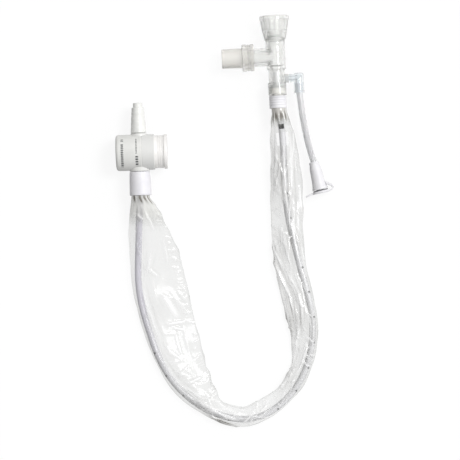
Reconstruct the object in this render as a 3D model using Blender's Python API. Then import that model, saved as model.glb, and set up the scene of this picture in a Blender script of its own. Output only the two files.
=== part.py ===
"""Closed suction catheter set, laid flat as it rests on a table.

Units are metres in the file and millimetres in the dimensions below. Z is up. The thumb valve is on the
left, the ventilator manifold at the top right, and the sleeved catheter runs between them in a long U.
"""
import math

import bmesh
import bpy
from mathutils import Matrix, Vector

MM = 0.001

# Fits
GAP = 0.3
SEAL_GAP = 0.06
THIN_GAP = 0.25

# Catheter and film
CATHETER_R = 2.65
CATHETER_TIP = -12.0
FILM_WALL = 0.4
FILM_END_WALL = 0.3

# Plunger bore and the passage that crosses it
PISTON_BORE_R = 5.4
PASSAGE_R = 2.2
SOCKET_R = PASSAGE_R + 1.1
CROSS_R = SOCKET_R + 0.8
CROSS_ROOT = PISTON_BORE_R + 0.25
RELIEF = 0.05

# Valve body
BODY_R = 14.2
BODY_WALL = 1.8
SLEEVED_R = BODY_R - 0.1
RIM_WALL = 0.85
COUNTERBORE_R = SLEEVED_R - RIM_WALL
BODY_LEFT = -18.2
BODY_STEP = 2.0
BODY_RIGHT = 12.2
END_WALL = 2.2
CORNER = 2.4
VENT_R = 0.8
SPINE_RIGHT = BODY_RIGHT - 0.2
PISTON_BORE_LEFT = BODY_LEFT + 4.2
COUNTERBORE_LEFT = CROSS_R + 0.3
BOSS_END = BODY_R + 0.7
BOSS_ROOT = BODY_R - 3.2
SOCKET_DEPTH = BODY_R - 4.7
TOP_BOSS_R = 6.4
LOW_BOSS_R = 8.3

# Plunger, its seals, spring, lock ring and thumb button
TRAVEL = 5.2
PISTON_R = PISTON_BORE_R - GAP
WAIST_LEFT = PASSAGE_R + 0.7
WAIST_RIGHT = WAIST_LEFT + 5.1
WAIST_R = PISTON_R / 2
GROOVE_R = PISTON_BORE_R - 1.2
GROOVE_WIDTH = 1.7
INNER_GROOVE = -5.6
OUTER_GROOVE = WAIST_RIGHT + 1.3
PISTON_LEFT = INNER_GROOVE - 2.0
SPRING_POCKET_R = GROOVE_R - 0.8
SPRING_POCKET_END = -3.4
SPRING_WIRE_R = 0.3
SPRING_COIL_R = SPRING_POCKET_R - SPRING_WIRE_R - 0.5
SPRING_TURNS = 6
SPIGOT_R = 2.6
SKIRT_R = COUNTERBORE_R - 0.35
SKIRT_WALL = 1.7
SKIRT_BORE_R = SKIRT_R - SKIRT_WALL
LIP_PROUD = 0.7
LIP_R = SKIRT_R + LIP_PROUD
LUG_R = SKIRT_R - 0.9
LOCK_R = SKIRT_BORE_R - 0.4
LOCK_WALL = 3.3
LOCK_BORE_R = LOCK_R - LOCK_WALL
SPINE_R = LOCK_BORE_R - GAP
LUG_WIDTH = 4.0
LOCK_LEFT = SPINE_RIGHT - 4.8
LUG_LEFT = SPINE_RIGHT - 3.0
BUTTON_LEFT = COUNTERBORE_LEFT + TRAVEL + 0.3
BUTTON_RIGHT = BODY_RIGHT + 9.9
LIP_LEFT = BUTTON_RIGHT - 2.8
BUTTON_FACE_IN = BUTTON_RIGHT - 2.5
BUTTON_BOSS_R = SPIGOT_R + 3.9
BUTTON_BOSS_LEFT = SPINE_RIGHT + TRAVEL + 0.5
SPIGOT_END = BUTTON_RIGHT - 2.2
PISTON_RIGHT = BUTTON_BOSS_LEFT - GAP
RIDGES = 3
RIDGE_DEPTH = 0.25
RIDGE_PITCH = 1.6
DISH = 1.0

# Vacuum connector and the catheter's hub
CONNECTOR_BASE = BOSS_END + GAP
CONNECTOR_BASE_R = 6.2
CONNECTOR_TOP = CONNECTOR_BASE + 20.1
CONNECTOR_TOP_R = 4.85
TIP_TOP = CONNECTOR_TOP + 3.6
TIP_R = CONNECTOR_TOP_R - 1.1
CONNECTOR_BORE_R = 2.3
SPIGOT_BORE_R = SOCKET_R - GAP - 1.1
HUB_START = BOSS_END + GAP
HUB_BARB_R = 6.4
HUB_FLANGE = 1.5
HUB_END = HUB_START + 14.8
CATHETER_HUB_END = HUB_START + 1.6
SLEEVE_TOP_R = HUB_BARB_R + 0.35 + FILM_WALL
SLEEVE_START = HUB_START + HUB_FLANGE + 0.5
COLLAR_BORE_R = SLEEVE_TOP_R + 0.35
COLLAR_TOP_R = COLLAR_BORE_R + 0.6
COLLAR_END_R = COLLAR_TOP_R + 0.5
COLLAR_END = HUB_START + 18.6

# Manifold body
CORE_R = 7.6
CORE_TOP = 12.4
CORE_LOW = -10.3
STEM_R = 6.3
STEM_LOW = -20.5
CUP_R = 7.25
CUP_LOW = -30.4
CUP_BORE_R = CUP_R - 0.65
CUP_FLOOR = -22.0
PASS_R = 3.4
AIRWAY_R = 4.4
TOP_SPIGOT_R = AIRWAY_R + 1.8
TOP_SPIGOT_END = 19.8
ARM_R = 7.1
ARM_END = -17.0
ARM_BORE_R = 4.0
ARM_SPIGOT_R = ARM_BORE_R + 1.6
ARM_SPIGOT_END = ARM_END - 7.7
SEAL_WIDTH = 1.6
TOP_GROOVE = (CORE_TOP + 2.6, SEAL_WIDTH, TOP_SPIGOT_R - 0.9)
ARM_GROOVE = (ARM_END - 4.6, SEAL_WIDTH, ARM_SPIGOT_R - 0.8)
SIDE_Y = -17.4
SIDE_SOCKET_R = 2.5
SIDE_R = SIDE_SOCKET_R + 1.1
SIDE_ROOT = (STEM_R + PASS_R) / 2 - 0.25
SIDE_FLOOR = STEM_R - 0.3
SIDE_END = SIDE_FLOOR + 3.5
ARM_ROOT = ARM_R - CORE_R - 2.0

# Swivels
PORT_LOW_R = 10.0
PORT_RIM_R = PORT_LOW_R + 1.65
PORT_STEP = TOP_SPIGOT_END + 0.7
PORT_TOP = PORT_STEP + 11.5
PORT_SOCKET_R = 7.5
PORT_SOCKET_FLOOR = PORT_STEP + 0.8
ARM_RING_R = 10.65
RING_GROOVE = 0.5
RING_LAND = 3.0
RING_GAP = 2.3
ARM_RING_END = ARM_SPIGOT_END - 1.8
ARM_TUBE_R = 7.75
ARM_TUBE_END = ARM_RING_END - 16.1
TAPER = 1 / 80

# Wiper, guide bushing and ribbed collar under the manifold
WIPER_TOP = CUP_FLOOR - 0.4
WIPER_THICK = 2.0
WIPER_HOLE_R = CATHETER_R + 0.15
BUSHING_TOP = WIPER_TOP - WIPER_THICK - 0.5
BUSHING_FLANGE = 4.6
BUSHING_R = CATHETER_R + 2.7
SLEEVE_END_R = BUSHING_R + 0.35 + FILM_END_WALL
RIB_COLLAR_TOP = CUP_LOW - 0.6
RIB_COLLAR_END = RIB_COLLAR_TOP - 9.7
SLEEVE_END = RIB_COLLAR_TOP - 0.7
BUSHING_END = RIB_COLLAR_END - 0.8
NOSE_END = BUSHING_END - 7.0
NOSE_R = CATHETER_R + 1.05
RIB_COLLAR_R = SLEEVE_END_R + GAP + 0.5
RIB_DEPTH = 0.22
RIB_HALF = 0.5
RIBS = 4

# Irrigation branch
LINE_R = 2.5
LINE_BORE_R = 1.3
DROP_BORE_R = LINE_BORE_R + 0.4
ELBOW_X = 17.3
ELBOW_R = LINE_R + 0.4
ELBOW_DROP_R = LINE_R + GAP + 1.0
ELBOW_TOP = SIDE_Y + ELBOW_DROP_R
ELBOW_LOW = SIDE_Y - 11.8
ELBOW_ROOM = 4.0
BELL_SOCKET_R = LINE_R + GAP
BELL_SOCKET_DEPTH = 9.0
BELL_NECK_R = BELL_SOCKET_R + 1.1
BELL_NECK = 2.6
BELL_SHOULDER = 4.6
BELL_SHOULDER_R = BELL_NECK_R + 0.6
BELL_WAIST = 14.5
BELL_WAIST_R = BELL_SHOULDER_R + 0.6
BELL_SKIRT = 20.6
BELL_SKIRT_R = BELL_WAIST_R + 0.8
BELL_END = 22.3
BELL_END_R = BELL_SKIRT_R + 0.3
INLET_R = 1.6
CHAMBER_R = 3.4
CHAMBER_TOP = BELL_SOCKET_DEPTH + 1.3
DUCK_LENGTH = 5.0
DUCK_FLANGE = 1.6
MOUTH_TOP = CHAMBER_TOP + 5.9
MOUTH_IN_R = CHAMBER_R + 0.1
MOUTH_R = MOUTH_IN_R + 0.8
CAP_FACE = BELL_END + 1.3
CAP_THICK = 1.6
CAP_R = 7.6
PLUG_TOP = MOUTH_TOP + 1.0
PLUG_TIP_R = MOUTH_R - 1.9
PLUG_R = MOUTH_R - 1.1
TAB_REACH = CAP_R + 4.6
TAB_WIDTH = 7.0
TAB_DROOP = 5.3
HINGE_X = CAP_R + 3.0
HINGE_Y = -BELL_END - 0.3
HINGE_GAP = 0.35
STRAP_WIDTH = 6.0
STRAP_THICK = 1.3

# Overall layout, measured from the centre of the laid out set; each assembly rests on the table
VALVE_AT = (-67.35, 54.15, BODY_R)
VALVE_TURN = 2.0
MANIFOLD_AT = (40.17, 129.76, PORT_RIM_R + 0.05)
MANIFOLD_TURN = 2.7
PORT_AT = (70.2, 46.8, CAP_R + 0.5)
PORT_TURN = 13.5

# Route of the catheter on the table, seen from above, between the two collars (x, y)
ROUTE = [
    (-67.2, 8.0), (-67.8, -7.0), (-68.2, -22.0), (-68.5, -38.0), (-68.0, -52.0), (-65.4, -68.0),
    (-61.0, -83.0), (-55.3, -100.5), (-47.0, -118.0), (-36.0, -132.5), (-22.5, -144.0), (-9.0, -151.5),
    (5.0, -155.6), (19.0, -156.5), (32.5, -152.5), (44.0, -145.0), (54.0, -134.5), (62.5, -120.5),
    (67.4, -105.0), (69.6, -89.0), (68.6, -73.0), (65.4, -57.5), (61.3, -42.0), (57.4, -27.0),
    (53.6, -12.0), (50.4, 3.0), (48.2, 19.0), (47.2, 35.0), (46.2, 51.0), (44.9, 67.0),
]

# The sleeve across the route: share of its length, height of the catheter's axis, reach outward and
# inward, radii of the outer, middle and inner folds, and height of the underside
SLEEVE_SHAPE = [
    (0.000, VALVE_AT[2], *[SLEEVE_TOP_R] * 5, VALVE_AT[2] - SLEEVE_TOP_R),
    (0.035, VALVE_AT[2], *[SLEEVE_TOP_R] * 5, VALVE_AT[2] - SLEEVE_TOP_R),
    (0.060, 12.90, 7.60, 14.5, 6.00, 6.80, 5.40, 5.00),
    (0.090, 9.40, 8.00, 23.5, 5.20, 6.40, 3.60, 2.60),
    (0.120, 6.40, 7.20, 30.5, 4.40, 6.00, 2.40, 1.00),
    (0.150, 4.40, 5.60, 35.2, 3.90, 5.60, 1.80, 0.20),
    (0.180, 3.60, 4.20, 36.8, 3.65, 5.20, 1.50, 0.00),
    (0.230, 3.60, 3.70, 37.4, 3.60, 4.80, 1.50, 0.00),
    (0.280, 3.60, 3.70, 36.0, 3.60, 4.80, 1.50, 0.00),
    (0.320, 3.60, 4.20, 32.0, 3.60, 4.80, 1.60, 0.00),
    (0.355, 3.60, 4.60, 26.5, 3.60, 5.00, 1.80, 0.00),
    (0.385, 3.60, 4.80, 18.0, 3.60, 5.20, 2.20, 0.00),
    (0.415, 3.60, 5.80, 9.60, 3.60, 5.00, 2.80, 0.00),
    (0.450, 3.60, 5.40, 9.00, 3.60, 5.00, 2.80, 0.00),
    (0.485, 3.60, 4.00, 12.2, 3.60, 4.80, 2.60, 0.00),
    (0.540, 3.60, 3.80, 11.0, 3.60, 4.60, 2.40, 0.00),
    (0.580, 3.60, 3.75, 12.0, 3.60, 4.60, 2.20, 0.00),
    (0.620, 3.60, 3.70, 16.0, 3.60, 4.60, 2.00, 0.00),
    (0.680, 3.60, 3.70, 20.5, 3.60, 4.80, 2.00, 0.00),
    (0.730, 3.60, 4.60, 21.0, 3.60, 5.00, 2.20, 0.00),
    (0.780, 3.60, 8.40, 17.5, 3.40, 5.40, 2.60, 0.00),
    (0.830, 3.60, 12.8, 12.8, 3.20, 5.80, 3.00, 0.00),
    (0.870, 4.20, 13.9, 10.4, 3.60, 6.20, 3.60, 0.20),
    (0.905, 6.40, 12.4, 10.2, 4.20, 6.30, 4.40, 1.20),
    (0.935, 9.20, 10.0, 9.60, 5.00, 6.20, 5.20, 3.20),
    (0.960, 11.6, 7.20, 7.60, 5.80, 6.00, 5.80, 5.40),
    (0.977, MANIFOLD_AT[2], *[SLEEVE_END_R] * 5, MANIFOLD_AT[2] - SLEEVE_END_R),
    (1.000, MANIFOLD_AT[2], *[SLEEVE_END_R] * 5, MANIFOLD_AT[2] - SLEEVE_END_R),
]

# Route of the irrigation line between the elbow and the port (x, y, z)
LINE_ROUTE = [(59.6, 95.0, MANIFOLD_AT[2]), (61.7, 80.5, 11.4), (65.0, 64.5, 10.2), (68.2, 53.0, 8.6)]

# Mesh fineness, and the part of a step that crossing bores are turned by so that no edges coincide
ROUND = 28
SKEW = 0.37
SMALL_ROUND = 20
FOLD_POINTS = 22
SLEEVE_STATIONS = 66
CORNER_STEPS = 3
SEAL_SIDES = 8
COIL_STEPS = 8


def finish(name, colour, roughness, transmission=0.0, alpha=1.0):
    """Material of one moulded or extruded piece."""
    material = bpy.data.materials.new(name)
    material.use_nodes = True
    shader = material.node_tree.nodes["Principled BSDF"]
    shader.inputs["Base Color"].default_value = (*colour, 1.0)
    shader.inputs["Roughness"].default_value = roughness
    shader.inputs["Transmission Weight"].default_value = transmission
    shader.inputs["Alpha"].default_value = alpha
    shader.inputs["IOR"].default_value = 1.5
    return material


def frame(name, at, turn):
    """Empty that carries one assembly, turned about the vertical."""
    empty = bpy.data.objects.new(name, None)
    empty.empty_display_size = 10 * MM
    empty.location = Vector(at) * MM
    empty.rotation_euler = (0.0, 0.0, math.radians(turn))
    bpy.context.scene.collection.objects.link(empty)
    return empty


def add(name, bm, material, parent=None, at=(0, 0, 0), smooth=30):
    """Object from a bmesh in millimetres, with outward faces and soft shading on its round sides."""
    bmesh.ops.recalc_face_normals(bm, faces=bm.faces)
    bmesh.ops.scale(bm, vec=(MM, MM, MM), verts=bm.verts)
    mesh = bpy.data.meshes.new(name)
    bm.to_mesh(mesh)
    bm.free()
    mesh.shade_smooth()
    mesh.set_sharp_from_angle(angle=math.radians(smooth))
    mesh.materials.append(material)
    piece = bpy.data.objects.new(name, mesh)
    bpy.context.scene.collection.objects.link(piece)
    piece.parent = parent
    piece.location = Vector(at) * MM
    return piece


def turned_mesh(profile, axis="X", segments=ROUND, bm=None, offset=(0, 0, 0), phase=0.0):
    """Solid of revolution from a closed (along, radius) outline, its facets turned by a phase in steps."""
    bm = bm or bmesh.new()
    rings = []
    for along, radius in profile:
        if radius < 1e-6:
            rings.append([bm.verts.new(spin(along, 0.0, 0.0, axis, offset))])
            continue
        rings.append([bm.verts.new(spin(along, radius, 2 * math.pi * (k + phase) / segments, axis, offset))
                      for k in range(segments)])
    for near, far in zip(rings, rings[1:] + rings[:1]):
        if len(near) == 1 and len(far) == 1:
            continue
        for k in range(segments):
            n = (k + 1) % segments
            corners = [near[k % len(near)], near[n % len(near)], far[n % len(far)], far[k % len(far)]]
            corners = list(dict.fromkeys(corners))
            bm.faces.new(corners)
    return bm


def spin(along, radius, angle, axis, offset):
    """Point on a circle about the named axis."""
    u = radius * math.cos(angle)
    v = radius * math.sin(angle)
    point = {"X": (along, u, v), "Y": (v, along, u), "Z": (u, v, along)}[axis]
    return Vector(point) + Vector(offset)


def rod_mesh(start, end, radius, axis="X", segments=ROUND, offset=(0, 0, 0), phase=0.0):
    """Plain round rod along an axis."""
    outline = [(start, 0), (start, radius), (end, radius), (end, 0)]
    return turned_mesh(outline, axis, segments, None, offset, phase)


def box_mesh(low, high):
    """Block between two corners."""
    bm = bmesh.new()
    size = Vector(high) - Vector(low)
    middle = (Vector(high) + Vector(low)) / 2
    bmesh.ops.create_cube(bm, size=1.0, matrix=Matrix.Translation(middle) @ Matrix.Diagonal((*size, 1.0)))
    return bm


def shape(piece, tool, operation):
    """Join or cut a piece with a hidden tool body that stays editable."""
    tool.hide_render = True
    tool.display_type = "WIRE"
    modifier = piece.modifiers.new(tool.name, "BOOLEAN")
    modifier.operation = operation
    modifier.solver = "EXACT"
    modifier.object = tool


def seal_ring(name, along, inner, outer, axis, material, parent):
    """Round sectioned seal ring centred between a groove and a bore."""
    section = (outer - inner) / 2 - SEAL_GAP
    middle = (outer + inner) / 2
    profile = [(along + section * math.cos(a), middle + section * math.sin(a))
               for a in (2 * math.pi * k / SEAL_SIDES for k in range(SEAL_SIDES))]
    return add(name, turned_mesh(profile, axis), material, parent, smooth=80)


def smooth_route(points, spacing):
    """Evenly spaced points on a smooth curve through the route points."""
    ends = [points[0] * 2 - points[1], *points, points[-1] * 2 - points[-2]]
    fine = []
    for a, b, c, d in zip(ends, ends[1:], ends[2:], ends[3:]):
        for k in range(12):
            t = k / 12
            fine.append((b * 2 + (c - a) * t + (a * 2 - b * 5 + c * 4 - d) * t * t
                         + (b * 3 - a - c * 3 + d) * t ** 3) * 0.5)
    fine.append(points[-1].copy())
    travelled = [0.0]
    for near, far in zip(fine, fine[1:]):
        travelled.append(travelled[-1] + (far - near).length)
    count = max(2, round(travelled[-1] / spacing))
    even, at = [], 0
    for k in range(count + 1):
        goal = travelled[-1] * k / count
        while at < len(travelled) - 2 and travelled[at + 1] < goal:
            at += 1
        span = travelled[at + 1] - travelled[at]
        even.append(fine[at].lerp(fine[at + 1], (goal - travelled[at]) / span))
    return even


def cord(name, points, radius, material):
    """Flexible line along a route, in world millimetres."""
    curve = bpy.data.curves.new(name, "CURVE")
    curve.dimensions = "3D"
    spline = curve.splines.new("POLY")
    spline.points.add(len(points) - 1)
    for target, point in zip(spline.points, points):
        target.co = (*(point * MM), 1.0)
    curve.bevel_depth = radius * MM
    curve.bevel_resolution = 3
    curve.use_fill_caps = True
    curve.materials.append(material)
    line = bpy.data.objects.new(name, curve)
    bpy.context.scene.collection.objects.link(line)
    return line


def world(at, turn, local):
    """World millimetres of a point given in an assembly turned about the vertical."""
    return Vector(at) + Matrix.Rotation(math.radians(turn), 3, "Z") @ Vector(local)


def interpolate(table, share):
    """Smoothly blended row of the sleeve table."""
    for near, far in zip(table, table[1:]):
        if share <= far[0]:
            t = (share - near[0]) / (far[0] - near[0])
            t = t * t * (3 - 2 * t) * 0.5 + t * 0.5
            return [a + (b - a) * t for a, b in zip(near[1:], far[1:])]
    return list(table[-1][1:])


def fold_section(row, wall):
    """Outer and inner outline of the film around three round folds, as (sideways, height) points."""
    _, outward, inward, r_out, r_mid, r_in, low = row
    folds = [(-(outward - r_out), low + r_out, r_out),
             (0.3 * (inward - r_in), low + r_mid, r_mid),
             (inward - r_in, low + r_in, r_in)]
    outer, inner = [], []
    for k in range(FOLD_POINTS):
        angle = 2 * math.pi * (k + 0.5) / FOLD_POINTS
        c, s = math.cos(angle), math.sin(angle)
        u, z, r = max(folds, key=lambda f: f[0] * c + f[1] * s + f[2])
        outer.append((u + r * c, z + r * s))
        inner.append((u + (r - wall) * c, z + (r - wall) * s))
    return outer, inner


def sleeve_mesh(route):
    """Hollow film lofted along the flat route, open at both ends."""
    bm = bmesh.new()
    loops = []
    for k, point in enumerate(route):
        share = k / (len(route) - 1)
        ahead = route[min(k + 1, len(route) - 1)] - route[max(k - 1, 0)]
        ahead.z = 0.0
        ahead.normalize()
        side = Vector((-ahead.y, ahead.x, 0.0))
        wall = FILM_END_WALL if share > 0.955 else FILM_WALL
        sections = fold_section(interpolate(SLEEVE_SHAPE, share), wall)
        loops.append([[bm.verts.new((point.x + side.x * u, point.y + side.y * u, z)) for u, z in section]
                      for section in sections])
    for near, far in zip(loops, loops[1:]):
        for ring_near, ring_far in zip(near, far):
            for k in range(FOLD_POINTS):
                n = (k + 1) % FOLD_POINTS
                bm.faces.new((ring_near[k], ring_near[n], ring_far[n], ring_far[k]))
    for outer, inner in (loops[0], loops[-1]):
        for k in range(FOLD_POINTS):
            n = (k + 1) % FOLD_POINTS
            bm.faces.new((outer[k], outer[n], inner[n], inner[k]))
    return bm


def catheter_points(spacing):
    """Catheter axis from the valve hub to its tip in the manifold."""
    flat = [world(VALVE_AT, VALVE_TURN, (0, -y, 0)) for y in (SLEEVE_START, HUB_END - 4.0, COLLAR_END + 1.2)]
    flat += [Vector((x, y, 0)) for x, y in ROUTE]
    flat += [world(MANIFOLD_AT, MANIFOLD_TURN, (0, y, 0))
             for y in (NOSE_END - 2.5, NOSE_END + 3.5, RIB_COLLAR_END + 2.7, SLEEVE_END)]
    for point in flat:
        point.z = 0.0
    middle = smooth_route(flat, spacing)
    for k, point in enumerate(middle):
        point.z = interpolate(SLEEVE_SHAPE, k / (len(middle) - 1))[0]
    return middle


def build_valve(paint, parent):
    """Thumb valve: body, plunger with seals and spring, lock ring, button, connector and hub."""
    left, step, right = BODY_LEFT, BODY_STEP, BODY_RIGHT
    inner_r = BODY_R - BODY_WALL
    corner = [(left + CORNER * (1 - math.sin(a)), BODY_R - CORNER * (1 - math.cos(a)))
              for a in (math.pi / 2 * (1 - k / CORNER_STEPS) for k in range(CORNER_STEPS + 1))]
    profile = [(left, VENT_R), *corner, (step, BODY_R), (step + 0.2, SLEEVED_R), (right - 0.3, SLEEVED_R),
               (right, SLEEVED_R - 0.3), (right, COUNTERBORE_R), (COUNTERBORE_LEFT, COUNTERBORE_R),
               (COUNTERBORE_LEFT, inner_r), (left + END_WALL, inner_r), (left + END_WALL, SPINE_R),
               (SPINE_RIGHT, SPINE_R), (SPINE_RIGHT, PISTON_BORE_R), (PISTON_BORE_LEFT, PISTON_BORE_R),
               (PISTON_BORE_LEFT, VENT_R)]
    body = add("valve_body", turned_mesh(profile), paint["shell"], parent)
    steps = []
    for name, sign, boss_r in (("valve_top_socket", 1, TOP_BOSS_R), ("valve_low_socket", -1, LOW_BOSS_R)):
        socket = [(CROSS_ROOT, PASSAGE_R), (CROSS_ROOT, CROSS_R), (BOSS_ROOT, CROSS_R), (BOSS_ROOT, boss_r),
                  (BOSS_END, boss_r), (BOSS_END, SOCKET_R), (SOCKET_DEPTH, SOCKET_R), (SOCKET_DEPTH, PASSAGE_R)]
        socket = turned_mesh([(sign * y, r) for y, r in socket], "Y", phase=SKEW)
        steps.append((name, socket, "UNION"))
    ring = [(COUNTERBORE_LEFT + RELIEF, SPINE_R + RELIEF), (COUNTERBORE_LEFT + RELIEF, COUNTERBORE_R - RELIEF),
            (right - 1, COUNTERBORE_R - RELIEF), (right - 1, SPINE_R + RELIEF)]
    steps.append(("valve_skirt_room", turned_mesh(ring), "DIFFERENCE"))
    passage = rod_mesh(1 - SOCKET_DEPTH, SOCKET_DEPTH - 1, PASSAGE_R - RELIEF, "Y", phase=SKEW)
    steps.append(("valve_passage", passage, "DIFFERENCE"))
    for name, sign in (("valve_top_opening", 1), ("valve_low_opening", -1)):
        ends = sorted((sign * (SOCKET_DEPTH + 1), sign * (BOSS_END + 1)))
        steps.append((name, rod_mesh(*ends, SOCKET_R - RELIEF, "Y", phase=SKEW), "DIFFERENCE"))
    for name, bm, operation in steps:
        shape(body, add(name, bm, paint["shell"], parent), operation)

    spool = [(PISTON_LEFT, SPRING_POCKET_R), (PISTON_LEFT, PISTON_R),
             (INNER_GROOVE, PISTON_R), (INNER_GROOVE, GROOVE_R),
             (INNER_GROOVE + GROOVE_WIDTH, GROOVE_R), (INNER_GROOVE + GROOVE_WIDTH, PISTON_R),
             (WAIST_LEFT, PISTON_R), (WAIST_LEFT, WAIST_R), (WAIST_RIGHT, WAIST_R), (WAIST_RIGHT, PISTON_R),
             (OUTER_GROOVE, PISTON_R), (OUTER_GROOVE, GROOVE_R),
             (OUTER_GROOVE + GROOVE_WIDTH, GROOVE_R), (OUTER_GROOVE + GROOVE_WIDTH, PISTON_R),
             (PISTON_RIGHT, PISTON_R), (PISTON_RIGHT, SPIGOT_R), (SPIGOT_END, SPIGOT_R), (SPIGOT_END, 0),
             (SPRING_POCKET_END, 0), (SPRING_POCKET_END, SPRING_POCKET_R)]
    add("valve_plunger", turned_mesh(spool), paint["plunger"], parent)
    for name, groove in (("plunger_seal_inner", INNER_GROOVE), ("plunger_seal_outer", OUTER_GROOVE)):
        seal_ring(name, groove + GROOVE_WIDTH / 2, GROOVE_R, PISTON_BORE_R, "X", paint["seal"], parent)

    start = PISTON_BORE_LEFT + GAP + SPRING_WIRE_R
    length = SPRING_POCKET_END - GAP - SPRING_WIRE_R - start
    coil = []
    for k in range(SPRING_TURNS * COIL_STEPS + 1):
        angle = 2 * math.pi * k / COIL_STEPS
        coil.append(Vector((start + length * k / (SPRING_TURNS * COIL_STEPS),
                            SPRING_COIL_R * math.cos(angle), SPRING_COIL_R * math.sin(angle))))
    spring = cord("return_spring", coil, SPRING_WIRE_R, paint["steel"])
    spring.data.bevel_resolution = 1
    spring.parent = parent

    ring = [(LOCK_LEFT, LOCK_BORE_R), (LOCK_LEFT, LOCK_R), (SPINE_RIGHT, LOCK_R), (SPINE_RIGHT, LOCK_BORE_R)]
    lock = add("lock_ring", turned_mesh(ring), paint["lock"], parent)
    for name, sign in (("lock_lug_upper", 1), ("lock_lug_lower", -1)):
        low = (LUG_LEFT, -LUG_WIDTH / 2, min(sign * (LOCK_R - 1), sign * LUG_R))
        high = (SPINE_RIGHT - 0.1, LUG_WIDTH / 2, max(sign * (LOCK_R - 1), sign * LUG_R))
        shape(lock, add(name, box_mesh(low, high), paint["lock"], parent), "UNION")

    face = [(BUTTON_RIGHT - 0.5, LIP_R), (BUTTON_RIGHT, LIP_R - 0.5)]
    dish_r = LIP_R - 1.3
    face += [(BUTTON_RIGHT - DISH * (1 - share ** 2), dish_r * share) for share in (1.0, 0.8, 0.6, 0.4, 0.2, 0.0)]
    grooves = []
    for k in range(RIDGES, 0, -1):
        x = LIP_LEFT - RIDGE_PITCH * k
        grooves += [(x, SKIRT_R), (x + RIDGE_DEPTH, SKIRT_R - RIDGE_DEPTH), (x + 2 * RIDGE_DEPTH, SKIRT_R)]
    cup = [(BUTTON_LEFT, SKIRT_BORE_R), (BUTTON_LEFT, SKIRT_R), *grooves, (LIP_LEFT, SKIRT_R),
           (LIP_LEFT + 0.5, LIP_R), *face, (SPIGOT_END + GAP, 0), (SPIGOT_END + GAP, SPIGOT_R + GAP),
           (BUTTON_BOSS_LEFT, SPIGOT_R + GAP), (BUTTON_BOSS_LEFT, BUTTON_BOSS_R),
           (BUTTON_FACE_IN, BUTTON_BOSS_R), (BUTTON_FACE_IN, SKIRT_BORE_R)]
    button = add("thumb_button", turned_mesh(cup), paint["button"], parent)
    slot = LUG_WIDTH / 2 + GAP + 0.1
    for name, sign in (("button_slot_upper", 1), ("button_slot_lower", -1)):
        ends = sorted((sign * (SKIRT_BORE_R - 2), sign * (LUG_R + GAP + 0.05)))
        bm = box_mesh((BUTTON_LEFT - 1, -slot, ends[0]), (SPINE_RIGHT + TRAVEL + 0.6, slot, ends[1]))
        shape(button, add(name, bm, paint["button"], parent), "DIFFERENCE")

    spigot = SOCKET_R - GAP
    connector = [(SOCKET_DEPTH + GAP, SPIGOT_BORE_R), (SOCKET_DEPTH + GAP, spigot), (CONNECTOR_BASE, spigot),
                 (CONNECTOR_BASE, CONNECTOR_BASE_R - 0.4), (CONNECTOR_BASE + 0.4, CONNECTOR_BASE_R),
                 (CONNECTOR_TOP - 0.5, CONNECTOR_TOP_R), (CONNECTOR_TOP, CONNECTOR_TOP_R - 0.5),
                 (CONNECTOR_TOP, TIP_R), (TIP_TOP - 0.3, TIP_R - 0.1), (TIP_TOP, TIP_R - 0.4),
                 (TIP_TOP, CONNECTOR_BORE_R), (CONNECTOR_BASE, CONNECTOR_BORE_R - 0.1)]
    add("vacuum_connector", turned_mesh(connector, "Y"), paint["connector"], parent)

    shoulder = -HUB_START
    hub = [(-SOCKET_DEPTH - GAP, SPIGOT_BORE_R), (-SOCKET_DEPTH - GAP, spigot), (shoulder, spigot),
           (shoulder, COLLAR_BORE_R - GAP), (shoulder - HUB_FLANGE, COLLAR_BORE_R - GAP),
           (shoulder - HUB_FLANGE, HUB_BARB_R), (-HUB_END + 0.6, HUB_BARB_R), (-HUB_END, HUB_BARB_R - 0.6),
           (-HUB_END, CATHETER_R + THIN_GAP), (-CATHETER_HUB_END + GAP, CATHETER_R + THIN_GAP),
           (-CATHETER_HUB_END + GAP, SPIGOT_BORE_R)]
    add("catheter_hub", turned_mesh(hub, "Y"), paint["hub"], parent)
    collar = [(shoulder, COLLAR_BORE_R), (shoulder, COLLAR_TOP_R - 0.25), (shoulder - 0.3, COLLAR_TOP_R),
              (-COLLAR_END + 0.5, COLLAR_END_R), (-COLLAR_END, COLLAR_END_R - 0.4), (-COLLAR_END, COLLAR_BORE_R)]
    add("proximal_collar", turned_mesh(collar, "Y"), paint["collar"], parent)


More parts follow.
